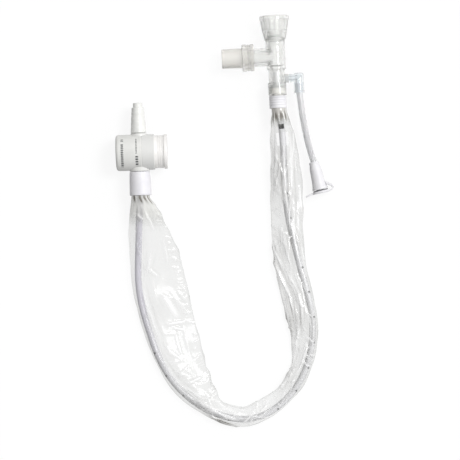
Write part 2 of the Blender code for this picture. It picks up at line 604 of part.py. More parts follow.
def build_manifold(paint, parent):
    """Clear manifold with its two swivels, wiper, guide bushing, ribbed collar and irrigation elbow."""
    stack = [(CUP_LOW, CUP_BORE_R), (CUP_LOW, CUP_R - 0.3), (CUP_LOW + 0.3, CUP_R), (STEM_LOW - 0.4, CUP_R),
             (STEM_LOW, STEM_R), (CORE_LOW, STEM_R), (CORE_LOW + 0.6, CORE_R), (CORE_TOP, CORE_R),
             (CORE_TOP, TOP_SPIGOT_R), *groove_steps(TOP_GROOVE, TOP_SPIGOT_R),
             (TOP_SPIGOT_END, TOP_SPIGOT_R), (TOP_SPIGOT_END, AIRWAY_R), (-7.0, AIRWAY_R), (-8.0, PASS_R),
             (CUP_FLOOR, PASS_R), (CUP_FLOOR, CUP_BORE_R)]
    body = add("manifold_body", turned_mesh(stack, "Y"), paint["clear"], parent)
    arm = [(ARM_SPIGOT_END, ARM_BORE_R), (ARM_SPIGOT_END, ARM_SPIGOT_R),
           *groove_steps(ARM_GROOVE, ARM_SPIGOT_R), (ARM_END, ARM_SPIGOT_R), (ARM_END, ARM_R),
           (ARM_ROOT, ARM_R), (ARM_ROOT, ARM_BORE_R)]
    side = [(SIDE_ROOT, LINE_BORE_R), (SIDE_ROOT, SIDE_R), (SIDE_END, SIDE_R), (SIDE_END, SIDE_SOCKET_R),
            (SIDE_FLOOR, SIDE_SOCKET_R), (SIDE_FLOOR, LINE_BORE_R)]
    at_side = (0, SIDE_Y, 0)
    steps = [
        ("manifold_arm", turned_mesh(arm), "UNION"),
        ("manifold_side", turned_mesh(side, "X", ROUND, None, at_side), "UNION"),
        ("airway_clear", rod_mesh(-6.5, CORE_R, AIRWAY_R - RELIEF, "Y"), "DIFFERENCE"),
        ("arm_opening", rod_mesh(ARM_END, 0, ARM_BORE_R - RELIEF), "DIFFERENCE"),
        ("side_opening", rod_mesh(1.0, SIDE_FLOOR - 0.5, LINE_BORE_R - RELIEF, "X", ROUND, at_side),
         "DIFFERENCE"),
    ]
    for name, bm, operation in steps:
        shape(body, add(name, bm, paint["clear"], parent), operation)

    bore = TOP_SPIGOT_R + GAP
    low = CORE_TOP + GAP
    port = [(low, bore), (low, PORT_LOW_R - 0.4), (low + 0.4, PORT_LOW_R), (PORT_STEP - 0.2, PORT_LOW_R),
            (PORT_STEP + 0.3, PORT_RIM_R), (PORT_TOP - 0.4, PORT_RIM_R - (PORT_TOP - PORT_STEP) * TAPER),
            (PORT_TOP, PORT_RIM_R - 0.5), (PORT_TOP, PORT_SOCKET_R + (PORT_TOP - PORT_SOCKET_FLOOR) * TAPER),
            (PORT_SOCKET_FLOOR, PORT_SOCKET_R), (PORT_SOCKET_FLOOR, AIRWAY_R + 0.8),
            (TOP_SPIGOT_END + GAP, AIRWAY_R + 0.8), (TOP_SPIGOT_END + GAP, bore)]
    add("circuit_swivel", turned_mesh(port, "Y"), paint["clear"], parent)
    seal_ring("circuit_seal", TOP_GROOVE[0] + TOP_GROOVE[1] / 2, TOP_GROOVE[2], bore, "Y", paint["seal"], parent)

    bore = ARM_SPIGOT_R + GAP
    ring_start = ARM_END - GAP
    rib = ARM_RING_R - RING_GROOVE
    tube = [(ring_start, bore), (ring_start, ARM_RING_R - 0.3), (ring_start - 0.3, ARM_RING_R),
            (ring_start - RING_LAND, ARM_RING_R), (ring_start - RING_LAND - 0.3, rib),
            (ring_start - RING_LAND - RING_GAP - 0.3, rib),
            (ring_start - RING_LAND - RING_GAP - 0.6, ARM_RING_R), (ARM_RING_END + 0.3, ARM_RING_R),
            (ARM_RING_END, ARM_RING_R - 0.3), (ARM_RING_END, ARM_TUBE_R),
            (ARM_TUBE_END + 0.4, ARM_TUBE_R - (ARM_RING_END - ARM_TUBE_END) * TAPER),
            (ARM_TUBE_END, ARM_TUBE_R - 0.5), (ARM_TUBE_END, bore)]
    add("patient_swivel", turned_mesh(tube), paint["frost"], parent)
    seal_ring("patient_seal", ARM_GROOVE[0] + ARM_GROOVE[1] / 2, ARM_GROOVE[2], bore, "X", paint["seal"], parent)

    flange_r = CUP_BORE_R - GAP
    wiper = [(WIPER_TOP, WIPER_HOLE_R + 0.9), (WIPER_TOP, flange_r), (WIPER_TOP - WIPER_THICK, flange_r),
             (WIPER_TOP - WIPER_THICK, WIPER_HOLE_R + 0.3), (WIPER_TOP - WIPER_THICK * 0.6, WIPER_HOLE_R)]
    add("wiper_seal", turned_mesh(wiper, "Y"), paint["seal"], parent)
    bushing = [(BUSHING_TOP, CATHETER_R + 0.6), (BUSHING_TOP, flange_r),
               (BUSHING_TOP - BUSHING_FLANGE, flange_r), (BUSHING_TOP - BUSHING_FLANGE, BUSHING_R),
               (BUSHING_END, BUSHING_R), (NOSE_END, NOSE_R), (NOSE_END, CATHETER_R + 0.45)]
    add("guide_bushing", turned_mesh(bushing, "Y"), paint["bushing"], parent)
    outer = []
    pitch = (RIB_COLLAR_TOP - RIB_COLLAR_END) / (RIBS + 1)
    for k in range(RIBS):
        y = RIB_COLLAR_TOP - pitch * (k + 1)
        outer += [(y + RIB_HALF, RIB_COLLAR_R), (y, RIB_COLLAR_R - RIB_DEPTH), (y - RIB_HALF, RIB_COLLAR_R)]
    collar = [(RIB_COLLAR_TOP, SLEEVE_END_R + GAP), (RIB_COLLAR_TOP, RIB_COLLAR_R - 0.2),
              (RIB_COLLAR_TOP - 0.2, RIB_COLLAR_R), *outer, (RIB_COLLAR_END + 0.2, RIB_COLLAR_R),
              (RIB_COLLAR_END, RIB_COLLAR_R - 0.2), (RIB_COLLAR_END, SLEEVE_END_R + GAP)]
    add("distal_collar", turned_mesh(collar, "Y"), paint["collar"], parent)

    room = LINE_R + GAP
    drop = [(ELBOW_LOW, room), (ELBOW_LOW, ELBOW_DROP_R - 0.3), (ELBOW_LOW + 0.3, ELBOW_DROP_R),
            (ELBOW_TOP - 0.8, ELBOW_DROP_R), (ELBOW_TOP, ELBOW_DROP_R - 0.8), (ELBOW_TOP, 0),
            (SIDE_Y + 1.9, 0), (SIDE_Y + 1.9, DROP_BORE_R), (SIDE_Y - ELBOW_ROOM, DROP_BORE_R),
            (SIDE_Y - ELBOW_ROOM, room)]
    elbow = add("irrigation_elbow", turned_mesh(drop, "Y", SMALL_ROUND, None, (ELBOW_X, 0, 0)),
                paint["elbow"], parent)
    run_end = ELBOW_X - (ELBOW_DROP_R + DROP_BORE_R) / 2 + 0.6
    run = [(SIDE_FLOOR + GAP, 0), (SIDE_FLOOR + GAP, SIDE_SOCKET_R - GAP), (SIDE_END + GAP, SIDE_SOCKET_R - GAP),
           (SIDE_END + GAP, ELBOW_R), (run_end, ELBOW_R), (run_end, 0)]
    run = turned_mesh(run, "X", SMALL_ROUND, None, (0, SIDE_Y, 0))
    shape(elbow, add("elbow_run", run, paint["elbow"], parent), "UNION")
    bore = rod_mesh(4.0, ELBOW_X, LINE_BORE_R, "X", SMALL_ROUND - 4, (0, SIDE_Y, 0))
    shape(elbow, add("elbow_bore", bore, paint["elbow"], parent), "DIFFERENCE")


def groove_steps(groove, radius):
    """Square groove in the outline of a spigot."""
    start, width, floor = groove
    return [(start, radius), (start, floor), (start + width, floor), (start + width, radius)]


def build_port(paint, parent):
    """Irrigation port: bell with its check valve and the hinged cap."""
    floor = -BELL_SOCKET_DEPTH
    bell = [(0, BELL_SOCKET_R), (0, BELL_NECK_R - 0.6), (-0.4, BELL_NECK_R - 0.2), (-BELL_NECK, BELL_NECK_R),
            (-BELL_SHOULDER, BELL_SHOULDER_R), (-BELL_WAIST, BELL_WAIST_R), (-BELL_SKIRT, BELL_SKIRT_R),
            (-BELL_END + 0.3, BELL_END_R), (-BELL_END, BELL_END_R - 0.2), (-BELL_END, MOUTH_R),
            (-MOUTH_TOP, MOUTH_IN_R), (-MOUTH_TOP, CHAMBER_R), (-CHAMBER_TOP + GAP, CHAMBER_R),
            (-CHAMBER_TOP + GAP, INLET_R), (floor, INLET_R), (floor, BELL_SOCKET_R)]
    hub = add("irrigation_hub", turned_mesh(bell, "Y"), paint["port"], parent)
    half = STRAP_WIDTH / 2
    root = BELL_WAIST_R - 0.2
    edge = HINGE_Y + HINGE_GAP
    lug = plate_mesh([(root, -BELL_WAIST - 2.4), (root + 1.3, -BELL_WAIST - 2.4), (HINGE_X - 0.7, edge + 2.0),
                      (HINGE_X, edge + 0.9), (HINGE_X, edge), (HINGE_X - STRAP_THICK, edge),
                      (HINGE_X - STRAP_THICK - 0.3, edge + 0.9), (root + 0.3, -BELL_WAIST - 4.4)], -half, half)
    shape(hub, add("hub_lug", lug, paint["port"], parent), "UNION")

    duck_r = CHAMBER_R - GAP
    tip = -CHAMBER_TOP - DUCK_LENGTH
    duck = [(-CHAMBER_TOP, INLET_R + 0.3), (-CHAMBER_TOP, duck_r), (-CHAMBER_TOP - DUCK_FLANGE, duck_r),
            (-CHAMBER_TOP - DUCK_FLANGE, duck_r - 0.7), (tip, 0.9), (tip, 0.4),
            (-CHAMBER_TOP - DUCK_FLANGE, INLET_R + 0.1)]
    add("check_valve", turned_mesh(duck, "Y", SMALL_ROUND), paint["seal"], parent)

    pivot = frame("cap_pivot", (HINGE_X, HINGE_Y, 0), 0)
    pivot.parent = parent
    offset = (-HINGE_X, -HINGE_Y, 0)
    face, back = -CAP_FACE, -CAP_FACE - CAP_THICK
    lid = [(back, 0), (back, CAP_R - 0.4), (back + 0.4, CAP_R), (face - 0.4, CAP_R), (face, CAP_R - 0.4),
           (face, PLUG_R), (-PLUG_TOP - 0.4, PLUG_TIP_R), (-PLUG_TOP, PLUG_TIP_R - 0.5), (-PLUG_TOP, 0)]
    cap = add("irrigation_cap", turned_mesh(lid, "Y", ROUND, None, offset), paint["port"], pivot)
    slope = math.tan(math.radians(TAB_DROOP))
    drop = (TAB_REACH - CAP_R) * slope * 2
    tab = plate_mesh([(-CAP_R + 1.6, face - 0.1), (-TAB_REACH, face - 0.1 - drop),
                      (-TAB_REACH, back + 0.1 - drop), (-CAP_R + 1.6, back + 0.1)],
                     -TAB_WIDTH / 2, TAB_WIDTH / 2, offset)
    shape(cap, add("cap_tab", tab, paint["port"], pivot), "UNION")
    edge = HINGE_Y - HINGE_GAP
    arm = plate_mesh([(CAP_R - 1.4, face - 0.15), (CAP_R + 0.4, face - 0.15), (HINGE_X - STRAP_THICK, edge),
                      (HINGE_X, edge), (HINGE_X, face), (CAP_R + 1.0, back + 0.1),
                      (CAP_R - 1.4, back + 0.1)], -half, half, offset)
    shape(cap, add("cap_arm", arm, paint["port"], pivot), "UNION")


def plate_mesh(outline, low, high, offset=(0, 0, 0)):
    """Flat plate of even height from an outline seen from above."""
    bm = bmesh.new()
    shift = Vector(offset)
    under = [bm.verts.new(Vector((x, y, low)) + shift) for x, y in outline]
    over = [bm.verts.new(Vector((x, y, high)) + shift) for x, y in outline]
    bm.faces.new(under)
    bm.faces.new(over)
    for k in range(len(outline)):
        n = (k + 1) % len(outline)
        bm.faces.new((under[k], under[n], over[n], over[k]))
    return bm


def main():
    """Build the whole set."""
    for piece in list(bpy.data.objects):
        bpy.data.objects.remove(piece)
    paint = {
        "shell": finish("white_shell", (0.78, 0.78, 0.76), 0.38),
        "connector": finish("white_connector", (0.82, 0.82, 0.80), 0.4),
        "hub": finish("natural_hub", (0.74, 0.75, 0.74), 0.35),
        "collar": finish("pale_lilac_collar", (0.77, 0.76, 0.82), 0.4),
        "plunger": finish("natural_plunger", (0.7, 0.7, 0.66), 0.4),
        "button": finish("white_button", (0.80, 0.79, 0.77), 0.36),
        "lock": finish("grey_lock_ring", (0.55, 0.56, 0.56), 0.4),
        "seal": finish("clear_silicone", (0.72, 0.73, 0.72), 0.5),
        "steel": finish("spring_steel", (0.55, 0.55, 0.56), 0.3),
        "clear": finish("clear_polycarbonate", (0.88, 0.9, 0.9), 0.08, 0.8, 0.55),
        "frost": finish("frosted_polycarbonate", (0.82, 0.82, 0.79), 0.25, 0.5, 0.75),
        "elbow": finish("blue_tinted_clear", (0.78, 0.84, 0.9), 0.12, 0.7, 0.6),
        "bushing": finish("pale_brown_bushing", (0.5, 0.46, 0.42), 0.4),
        "port": finish("white_port", (0.84, 0.83, 0.84), 0.42),
        "film": finish("clear_film", (0.85, 0.86, 0.85), 0.18, 0.7, 0.4),
        "tube": finish("clear_vinyl_tube", (0.76, 0.78, 0.78), 0.25, 0.4, 0.8),
    }
    valve = frame("valve_frame", VALVE_AT, VALVE_TURN)
    manifold = frame("manifold_frame", MANIFOLD_AT, MANIFOLD_TURN)
    port = frame("port_frame", PORT_AT, PORT_TURN)
    build_valve(paint, valve)
    build_manifold(paint, manifold)
    build_port(paint, port)

    sleeve_line = catheter_points(1.0)
    stations = [sleeve_line[round(k * (len(sleeve_line) - 1) / (SLEEVE_STATIONS - 1))]
                for k in range(SLEEVE_STATIONS)]
    add("sleeve", sleeve_mesh(stations), paint["film"], smooth=50)
    middle = catheter_points(9.0)
    tail = [world(MANIFOLD_AT, MANIFOLD_TURN, (0, y, 0)) for y in (CUP_FLOOR, CATHETER_TIP)]
    top = world(VALVE_AT, VALVE_TURN, (0, -CATHETER_HUB_END, 0))
    cord("catheter", [top, *middle[1:], *tail], CATHETER_R, paint["tube"])

    route = [world(MANIFOLD_AT, MANIFOLD_TURN, (ELBOW_X, y, 0))
             for y in (SIDE_Y - ELBOW_ROOM - GAP, ELBOW_LOW - 0.5)]
    route += [Vector(point) for point in LINE_ROUTE]
    route += [world(PORT_AT, PORT_TURN, (0, y, 0)) for y in (0.5, -BELL_SOCKET_DEPTH + GAP)]
    cord("irrigation_tube", smooth_route(route, 5.5), LINE_R, paint["tube"])


main()
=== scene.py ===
import logging
import math
import random
from collections.abc import Iterator, Sequence
from dataclasses import dataclass, field
from enum import Enum
from functools import cache
from itertools import accumulate

import bmesh
import bpy
from mathutils import Matrix, Vector, noise


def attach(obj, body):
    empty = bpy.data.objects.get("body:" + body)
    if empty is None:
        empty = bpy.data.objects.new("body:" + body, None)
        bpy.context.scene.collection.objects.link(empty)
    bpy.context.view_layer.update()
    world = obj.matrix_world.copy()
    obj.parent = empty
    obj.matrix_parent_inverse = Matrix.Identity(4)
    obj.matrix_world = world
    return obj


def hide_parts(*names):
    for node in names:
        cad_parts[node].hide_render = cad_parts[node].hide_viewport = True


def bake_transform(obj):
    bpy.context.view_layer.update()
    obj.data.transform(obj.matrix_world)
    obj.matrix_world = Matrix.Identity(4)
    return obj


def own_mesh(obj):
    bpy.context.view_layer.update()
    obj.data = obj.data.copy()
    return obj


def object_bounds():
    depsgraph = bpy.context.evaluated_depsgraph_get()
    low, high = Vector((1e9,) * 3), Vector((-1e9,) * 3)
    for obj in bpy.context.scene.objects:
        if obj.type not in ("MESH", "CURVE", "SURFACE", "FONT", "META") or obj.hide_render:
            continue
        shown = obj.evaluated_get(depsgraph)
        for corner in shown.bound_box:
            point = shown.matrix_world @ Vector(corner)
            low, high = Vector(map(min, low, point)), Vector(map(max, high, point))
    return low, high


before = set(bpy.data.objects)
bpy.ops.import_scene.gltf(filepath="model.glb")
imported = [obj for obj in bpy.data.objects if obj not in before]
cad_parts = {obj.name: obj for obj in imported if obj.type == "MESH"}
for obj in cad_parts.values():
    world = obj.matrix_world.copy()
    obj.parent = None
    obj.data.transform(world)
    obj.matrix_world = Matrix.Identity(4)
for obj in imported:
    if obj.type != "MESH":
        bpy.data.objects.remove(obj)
CAD_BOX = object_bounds()

LOG = logging.getLogger("suction_catheter")
MM = 0.001
TURN = 2 * math.pi
WHITE = (1.0, 1.0, 1.0, 1.0)
Point = tuple[float, float, float]
Outline = Sequence[tuple[float, float]]
Form = bmesh.types.BMesh
Node = bpy.types.Node
Outputs = bpy.types.bpy_prop_collection
Socket = bpy.types.NodeSocket
Tree = bpy.types.NodeTree
Value = float | tuple | Socket


class Axis(Enum):
    """The assembly's own axis that a turned piece runs along."""

    ALONG_X = "x"
    ALONG_Y = "y"


class Fit(Enum):
    """How a tool body shapes a solid."""

    UNITE = "UNION"
    CUT = "DIFFERENCE"


@dataclass(frozen=True)
class Place:
    """Where an assembly stands, in millimetres, and its turn about the vertical in degrees."""

    at: Point
    turn: float

    def matrix(self) -> Matrix:
        """Matrix from the assembly's millimetres to metres in the shared frame."""
        rotation = Matrix.Rotation(math.radians(self.turn), 4, "Z")
        return Matrix.Scale(MM, 4) @ Matrix.Translation(self.at) @ rotation

    def point(self, local: Point) -> Vector:
        """Point of the assembly in metres in the shared frame."""
        return self.matrix() @ Vector(local)


VALVE = Place((-67.35, 54.15, 14.2), 2.0)
MANIFOLD = Place((40.17, 129.76, 11.7), 2.7)
PORT = Place((70.2, 46.8, 8.1), 13.5)
WORLD = Place((0.0, 0.0, 0.0), 0.0)


# ---------------------------------------------------------------- nodes


def linear(colour: str) -> tuple[float, float, float, float]:
    """Turn an sRGB hex colour into the linear values that shaders take.

    Args:
        colour: six hex digits after a hash sign.

    Returns:
        Linear red, green, blue and an alpha of one.
    """
    parts = [int(colour[k:k + 2], 16) / 255 for k in (1, 3, 5)]
    values = [c / 12.92 if c <= 0.04045 else ((c + 0.055) / 1.055) ** 2.4 for c in parts]
    return (*values, 1.0)


def feed(tree: Tree, target: Node, inputs: dict[str | int, Value]) -> None:
    """Set a node's inputs, or link them where the value is a socket."""
    for name, value in inputs.items():
        if isinstance(value, Socket):
            tree.links.new(value, target.inputs[name])
        else:
            target.inputs[name].default_value = value


def node(tree: Tree, kind: str, settings: dict | None = None,
         inputs: dict | None = None) -> Node:
    """Add one node with its settings and links.

    Args:
        tree: the material's node tree.
        kind: Blender's name for the node type.
        settings: attribute names with their values.
        inputs: input names or numbers with a value, or with the socket that feeds them.

    Returns:
        The new node.
    """
    made = tree.nodes.new(kind)
    for name, value in (settings or {}).items():
        setattr(made, name, value)
    feed(tree, made, inputs or {})
    return made


@dataclass(frozen=True)
class Graph:
    """A node tree, with one short call for each kind of node that the finishes share."""

    tree: Tree

    def calc(self, operation: str, *values: Value, clamp: bool = False) -> Socket:
        """Math node. COMPARE takes a value, a middle and a reach to either side."""
        settings = {"operation": operation, "use_clamp": clamp}
        return node(self.tree, "ShaderNodeMath", settings, dict(enumerate(values))).outputs[0]

    def ramp(self, value: Socket, low: float = 0.0, high: float = 1.0, start: float = 0.0,
             end: float = 1.0, kind: str = "LINEAR") -> Socket:
        """Map a value from low..high to start..end, held at its ends."""
        return node(self.tree, "ShaderNodeMapRange", {"interpolation_type": kind}, {
            "Value": value, "From Min": low, "From Max": high, "To Min": start, "To Max": end}).outputs["Result"]

    def tone(self, share: Value, first: str | Value, second: str | Value) -> Socket:
        """Mix two colours, given in hex or as sockets."""
        pair = [linear(colour) if isinstance(colour, str) else colour for colour in (first, second)]
        return node(self.tree, "ShaderNodeMix", {"data_type": "RGBA"}, {0: share, 6: pair[0], 7: pair[1]}).outputs[2]

    def mottle(self, vector: Socket, scale: float, detail: float = 2.0, roughness: float = 0.5,
               distortion: float = 0.0) -> Socket:
        """Soft noise with `scale` cells to the unit of its coordinates."""
        return node(self.tree, "ShaderNodeTexNoise", None, {
            "Vector": vector, "Scale": scale, "Detail": detail, "Roughness": roughness,
            "Distortion": distortion}).outputs["Fac"]

    def bump(self, height: Socket, strength: float, depth: float) -> Socket:
        """Normals of a relief that is `depth` millimetres deep."""
        return node(self.tree, "ShaderNodeBump", None, {
            "Height": height, "Strength": strength, "Distance": depth * MM}).outputs["Normal"]

    def parts(self, vector: Socket) -> Outputs:
        """Outputs X, Y and Z of a vector."""
        return node(self.tree, "ShaderNodeSeparateXYZ", None, {"Vector": vector}).outputs

    def strongest(self, masks: Sequence[Socket]) -> Socket:
        """Highest of several masks."""
        total = masks[0]
        for mask in masks[1:]:
            total = self.calc("MAXIMUM", total, mask)
        return total

    def layer(self, share: Value, first: Socket, second: Socket) -> Socket:
        """Mix two shaders."""
        return node(self.tree, "ShaderNodeMixShader", None, {0: share, 1: first, 2: second}).outputs[0]

    def stretched(self, layout: str, scale: Point) -> Socket:
        """Coordinates of a UV map, scaled."""
        uv = node(self.tree, "ShaderNodeUVMap", {"uv_map": layout}).outputs["UV"]
        return node(self.tree, "ShaderNodeMapping", None, {"Vector": uv, "Scale": scale}).outputs["Vector"]

    def millimetres(self, place: Place) -> Socket:
        """Coordinates of an assembly in millimetres, from the object's own."""
        source = node(self.tree, "ShaderNodeTexCoord")
        return node(self.tree, "ShaderNodeMapping", {"vector_type": "TEXTURE"}, {
            "Vector": source.outputs["Object"], "Location": Vector(place.at) * MM,
            "Rotation": (0.0, 0.0, math.radians(place.turn)), "Scale": (MM, MM, MM)}).outputs["Vector"]


# ---------------------------------------------------------------- finishes


@dataclass(frozen=True)
class Finish:
    """What every finish shares: its name and the colour and roughness it starts from."""

    name: str
    colour: str
    roughness: float

    @cache
    def build(self, place: Place = WORLD) -> bpy.types.Material:
        """Make the material once for each assembly.

        Args:
            place: assembly whose millimetres the pattern runs in.

        Returns:
            The material.
        """
        material = bpy.data.materials.new(self.name)
        material.use_nodes = True
        tree = material.node_tree
        shader = tree.nodes["Principled BSDF"]
        feed(tree, shader, {"Base Color": linear(self.colour), "Roughness": self.roughness})
        shown = self.dress(Graph(tree), shader, place)
        if shown:
            tree.links.new(shown, tree.nodes["Material Output"].inputs["Surface"])
        return material

    def dress(self, graph: Graph, shader: Node, place: Place) -> Socket | None:
        """Feed the shader with the finish's patterns.

        Args:
            graph: the material's nodes.
            shader: its Principled shader.
            place: assembly whose millimetres the pattern runs in.

        Returns:
            The shader that is shown in place of the Principled one, if any.
        """
        raise NotImplementedError


@dataclass(frozen=True)
class MouldedPlastic(Finish):
    """Injection moulded polypropylene or ABS from a spark-eroded tool.

    The eye sees a soft satin white with a very faint grain, slow swirls where the melt flowed, and
    gloss that changes a little from place to place. The real grain is 0.05 mm and is drawn coarser,
    at `grain` millimetres, so that it shows at all.
    """

    shade: str = "#D0D0CE"
    grain: float = 0.35
    depth: float = 0.012
    cloud: float = 9.0

    def dress(self, graph: Graph, shader: Node, place: Place) -> None:
        """Flow swirls, grain, uneven gloss and print."""
        local = graph.millimetres(place)
        swirl = graph.mottle(local, 1 / self.cloud, 3.0, 0.5, 0.6)
        tone = graph.tone(graph.ramp(swirl, 0.35, 0.7), self.colour, self.shade)
        grain = graph.mottle(local, 1 / self.grain, 2.0, 0.6)
        feed(graph.tree, shader, {
            "Base Color": self.printed(graph, local, tone),
            "Roughness": graph.ramp(swirl, 0.3, 0.75, self.roughness - 0.04, self.roughness + 0.07),
            "Normal": graph.bump(grain, 0.55, self.depth)})

    def printed(self, graph: Graph, local: Socket, tone: Socket) -> Socket:
        """Colour with whatever is printed on it or varies along it; plain plastic has nothing.

        Args:
            graph: the material's nodes.
            local: coordinates in millimetres.
            tone: the plastic's own colour.

        Returns:
            The colour that the eye sees.
        """
        return tone


@dataclass(frozen=True)
class PrintedShell(MouldedPlastic):
    """The valve's shell: the same plastic, with a smoother guard band and two pad-printed scales.

    Pad print is a thin slate grey ink that wears in places. Both columns are plain ticks and bars,
    each with its middle and half width across, middle and half length along, pitch and tick's half.
    """

    ink: str = "#3A3D40"
    band: str = "#E1E1DF"
    band_from: float = 2.05
    columns: tuple[tuple[float, ...], ...] = (
        (-13.0, 0.95, -2.4, 9.0, 1.45, 0.5), (-13.0, 0.95, 9.4, 1.25, 1.1, 0.3),
        (-1.9, 0.5, 4.6, 6.0, 1.2, 0.38), (-1.6, 1.05, -7.0, 4.0, 1.9, 0.6))

    def printed(self, graph: Graph, local: Socket, tone: Socket) -> Socket:
        """Lay the guard band's grey and the printed columns over the plastic's colour."""
        axis = graph.parts(local)
        tone = graph.tone(graph.calc("GREATER_THAN", axis["X"], self.band_from), tone, self.band)
        masks = []
        for middle, half, centre, reach, pitch, stroke in self.columns:
            box = graph.calc("MULTIPLY", graph.calc("COMPARE", axis["X"], middle, half),
                             graph.calc("COMPARE", axis["Y"], centre, reach))
            beat = graph.calc("PINGPONG", axis["Y"], pitch / 2)
            masks.append(graph.calc("MULTIPLY", box, graph.calc("COMPARE", beat, 0.0, stroke)))
        on_top = graph.calc("MULTIPLY", graph.strongest(masks), graph.calc("GREATER_THAN", axis["Z"], 1.0))
        worn = graph.ramp(graph.mottle(local, 2.2), 0.3, 0.45)
        return graph.tone(graph.calc("MULTIPLY", on_top, worn), tone, self.ink)


@dataclass(frozen=True)
class GuideNylon(MouldedPlastic):
    """Natural nylon of the guide bushing, near white in its thin flange; its cone is turned pale brown by painted
    shade.
    """

    # painted shade of the cone
    deep: str = "#D8CCC2"
    cone_from: float = -40.5

    def printed(self, graph: Graph, local: Socket, tone: Socket) -> Socket:
        """Paint shade on the cone, from the flange's tone to a pale brown."""
        solid = graph.ramp(graph.parts(local)["Y"], self.cone_from + 1.5, self.cone_from - 1.5)
        return graph.tone(solid, tone, self.deep)


@dataclass(frozen=True)
class CapWithPaintedShade(MouldedPlastic):
    """The irrigation cap's polyethylene, with painted shade: a grey ring where the gap between the cap and the bell's
    mouth lies in shadow.
    """

    # painted shade of the gap between the cap and the bell's mouth
    painted_gap_shade: str = "#6F6F71"
    gap_shade_at: tuple[float, float] = (-23.05, 0.46)
    gap_shade_r: float = 6.3

    def printed(self, graph: Graph, local: Socket, tone: Socket) -> Socket:
        """Paint the shade of the gap as a grey ring."""
        axis = graph.parts(local)
        both = graph.calc("MULTIPLY", graph.calc("COMPARE", axis["Y"], *self.gap_shade_at),
                          graph.calc("COMPARE", axis["X"], 0.0, self.gap_shade_r))
        return graph.tone(both, tone, self.painted_gap_shade)


@dataclass(frozen=True)
class ClearPlastic(Finish):
    """Injection moulded polycarbonate, clear, frosted or blue tinted.

    The eye sees bright edges and lens-like bands where light bends through thick walls, and faint
    flow lines. Its shadow is let through, because thin clear walls darken the table very little.
    The tool may be polished past one x, so that this end of the moulding has a haze of its own.
    """

    ior: float = 1.585
    ripple: float = 3.2
    depth: float = 0.03
    haze: float = 0.12
    milk: str = "#E9EAE9"
    polished: tuple[float, float] | None = None
    shadow_through: float = 0.78

    def dress(self, graph: Graph, shader: Node, place: Place) -> Socket:
        """Wavy clear walls with a milky haze and a light shadow."""
        local = graph.millimetres(place)
        flow = graph.mottle(local, 1 / self.ripple, 2.0, 0.45, 0.8)
        normal = graph.bump(flow, 0.6, self.depth)
        smooth = max(self.roughness - 0.02, 0.01)
        feed(graph.tree, shader, {
            "Transmission Weight": 1.0, "IOR": self.ior, "Normal": normal,
            "Roughness": graph.ramp(flow, 0.3, 0.7, smooth, self.roughness + 0.03)})
        haze = self.haze
        if self.polished:
            start, clear = self.polished
            haze = graph.ramp(graph.parts(local)["X"], start - 0.3, start + 0.3, self.haze, clear)
        milk = node(graph.tree, "ShaderNodeBsdfDiffuse", None, {"Color": linear(self.milk), "Normal": normal})
        cloudy = graph.layer(haze, shader.outputs[0], milk.outputs[0])
        path = node(graph.tree, "ShaderNodeLightPath").outputs
        open_way = node(graph.tree, "ShaderNodeBsdfTransparent", None, {"Color": linear("#F4F6F6")})
        return graph.layer(graph.calc("MULTIPLY", path["Is Shadow Ray"], self.shadow_through), cloudy,
                           open_way.outputs[0])


@dataclass(frozen=True)
class Silicone(Finish):
    """Moulded silicone rubber of the seals: milky, soft gloss, light glows through its thin edges."""

    shade: str = "#C4C7C6"

    def dress(self, graph: Graph, shader: Node, place: Place) -> None:
        """Clouds in the rubber and its soft skin."""
        local = graph.millimetres(WORLD)
        feed(graph.tree, shader, {
            "Base Color": graph.tone(graph.mottle(local, 0.3), self.colour, self.shade),
            "Normal": graph.bump(graph.mottle(local, 2.5), 0.4, 0.02), "Transmission Weight": 0.35, "IOR": 1.41})


@dataclass(frozen=True)
class SpringSteel(Finish):
    """Cold drawn stainless wire: bright metal with a gloss that changes along the wire."""

    def dress(self, graph: Graph, shader: Node, place: Place) -> None:
        """Metal with uneven gloss."""
        draw = graph.mottle(graph.millimetres(place), 6.0, 3.0)
        feed(graph.tree, shader, {"Metallic": 1.0, "Roughness": graph.ramp(draw, 0.0, 1.0, 0.2, 0.42)})


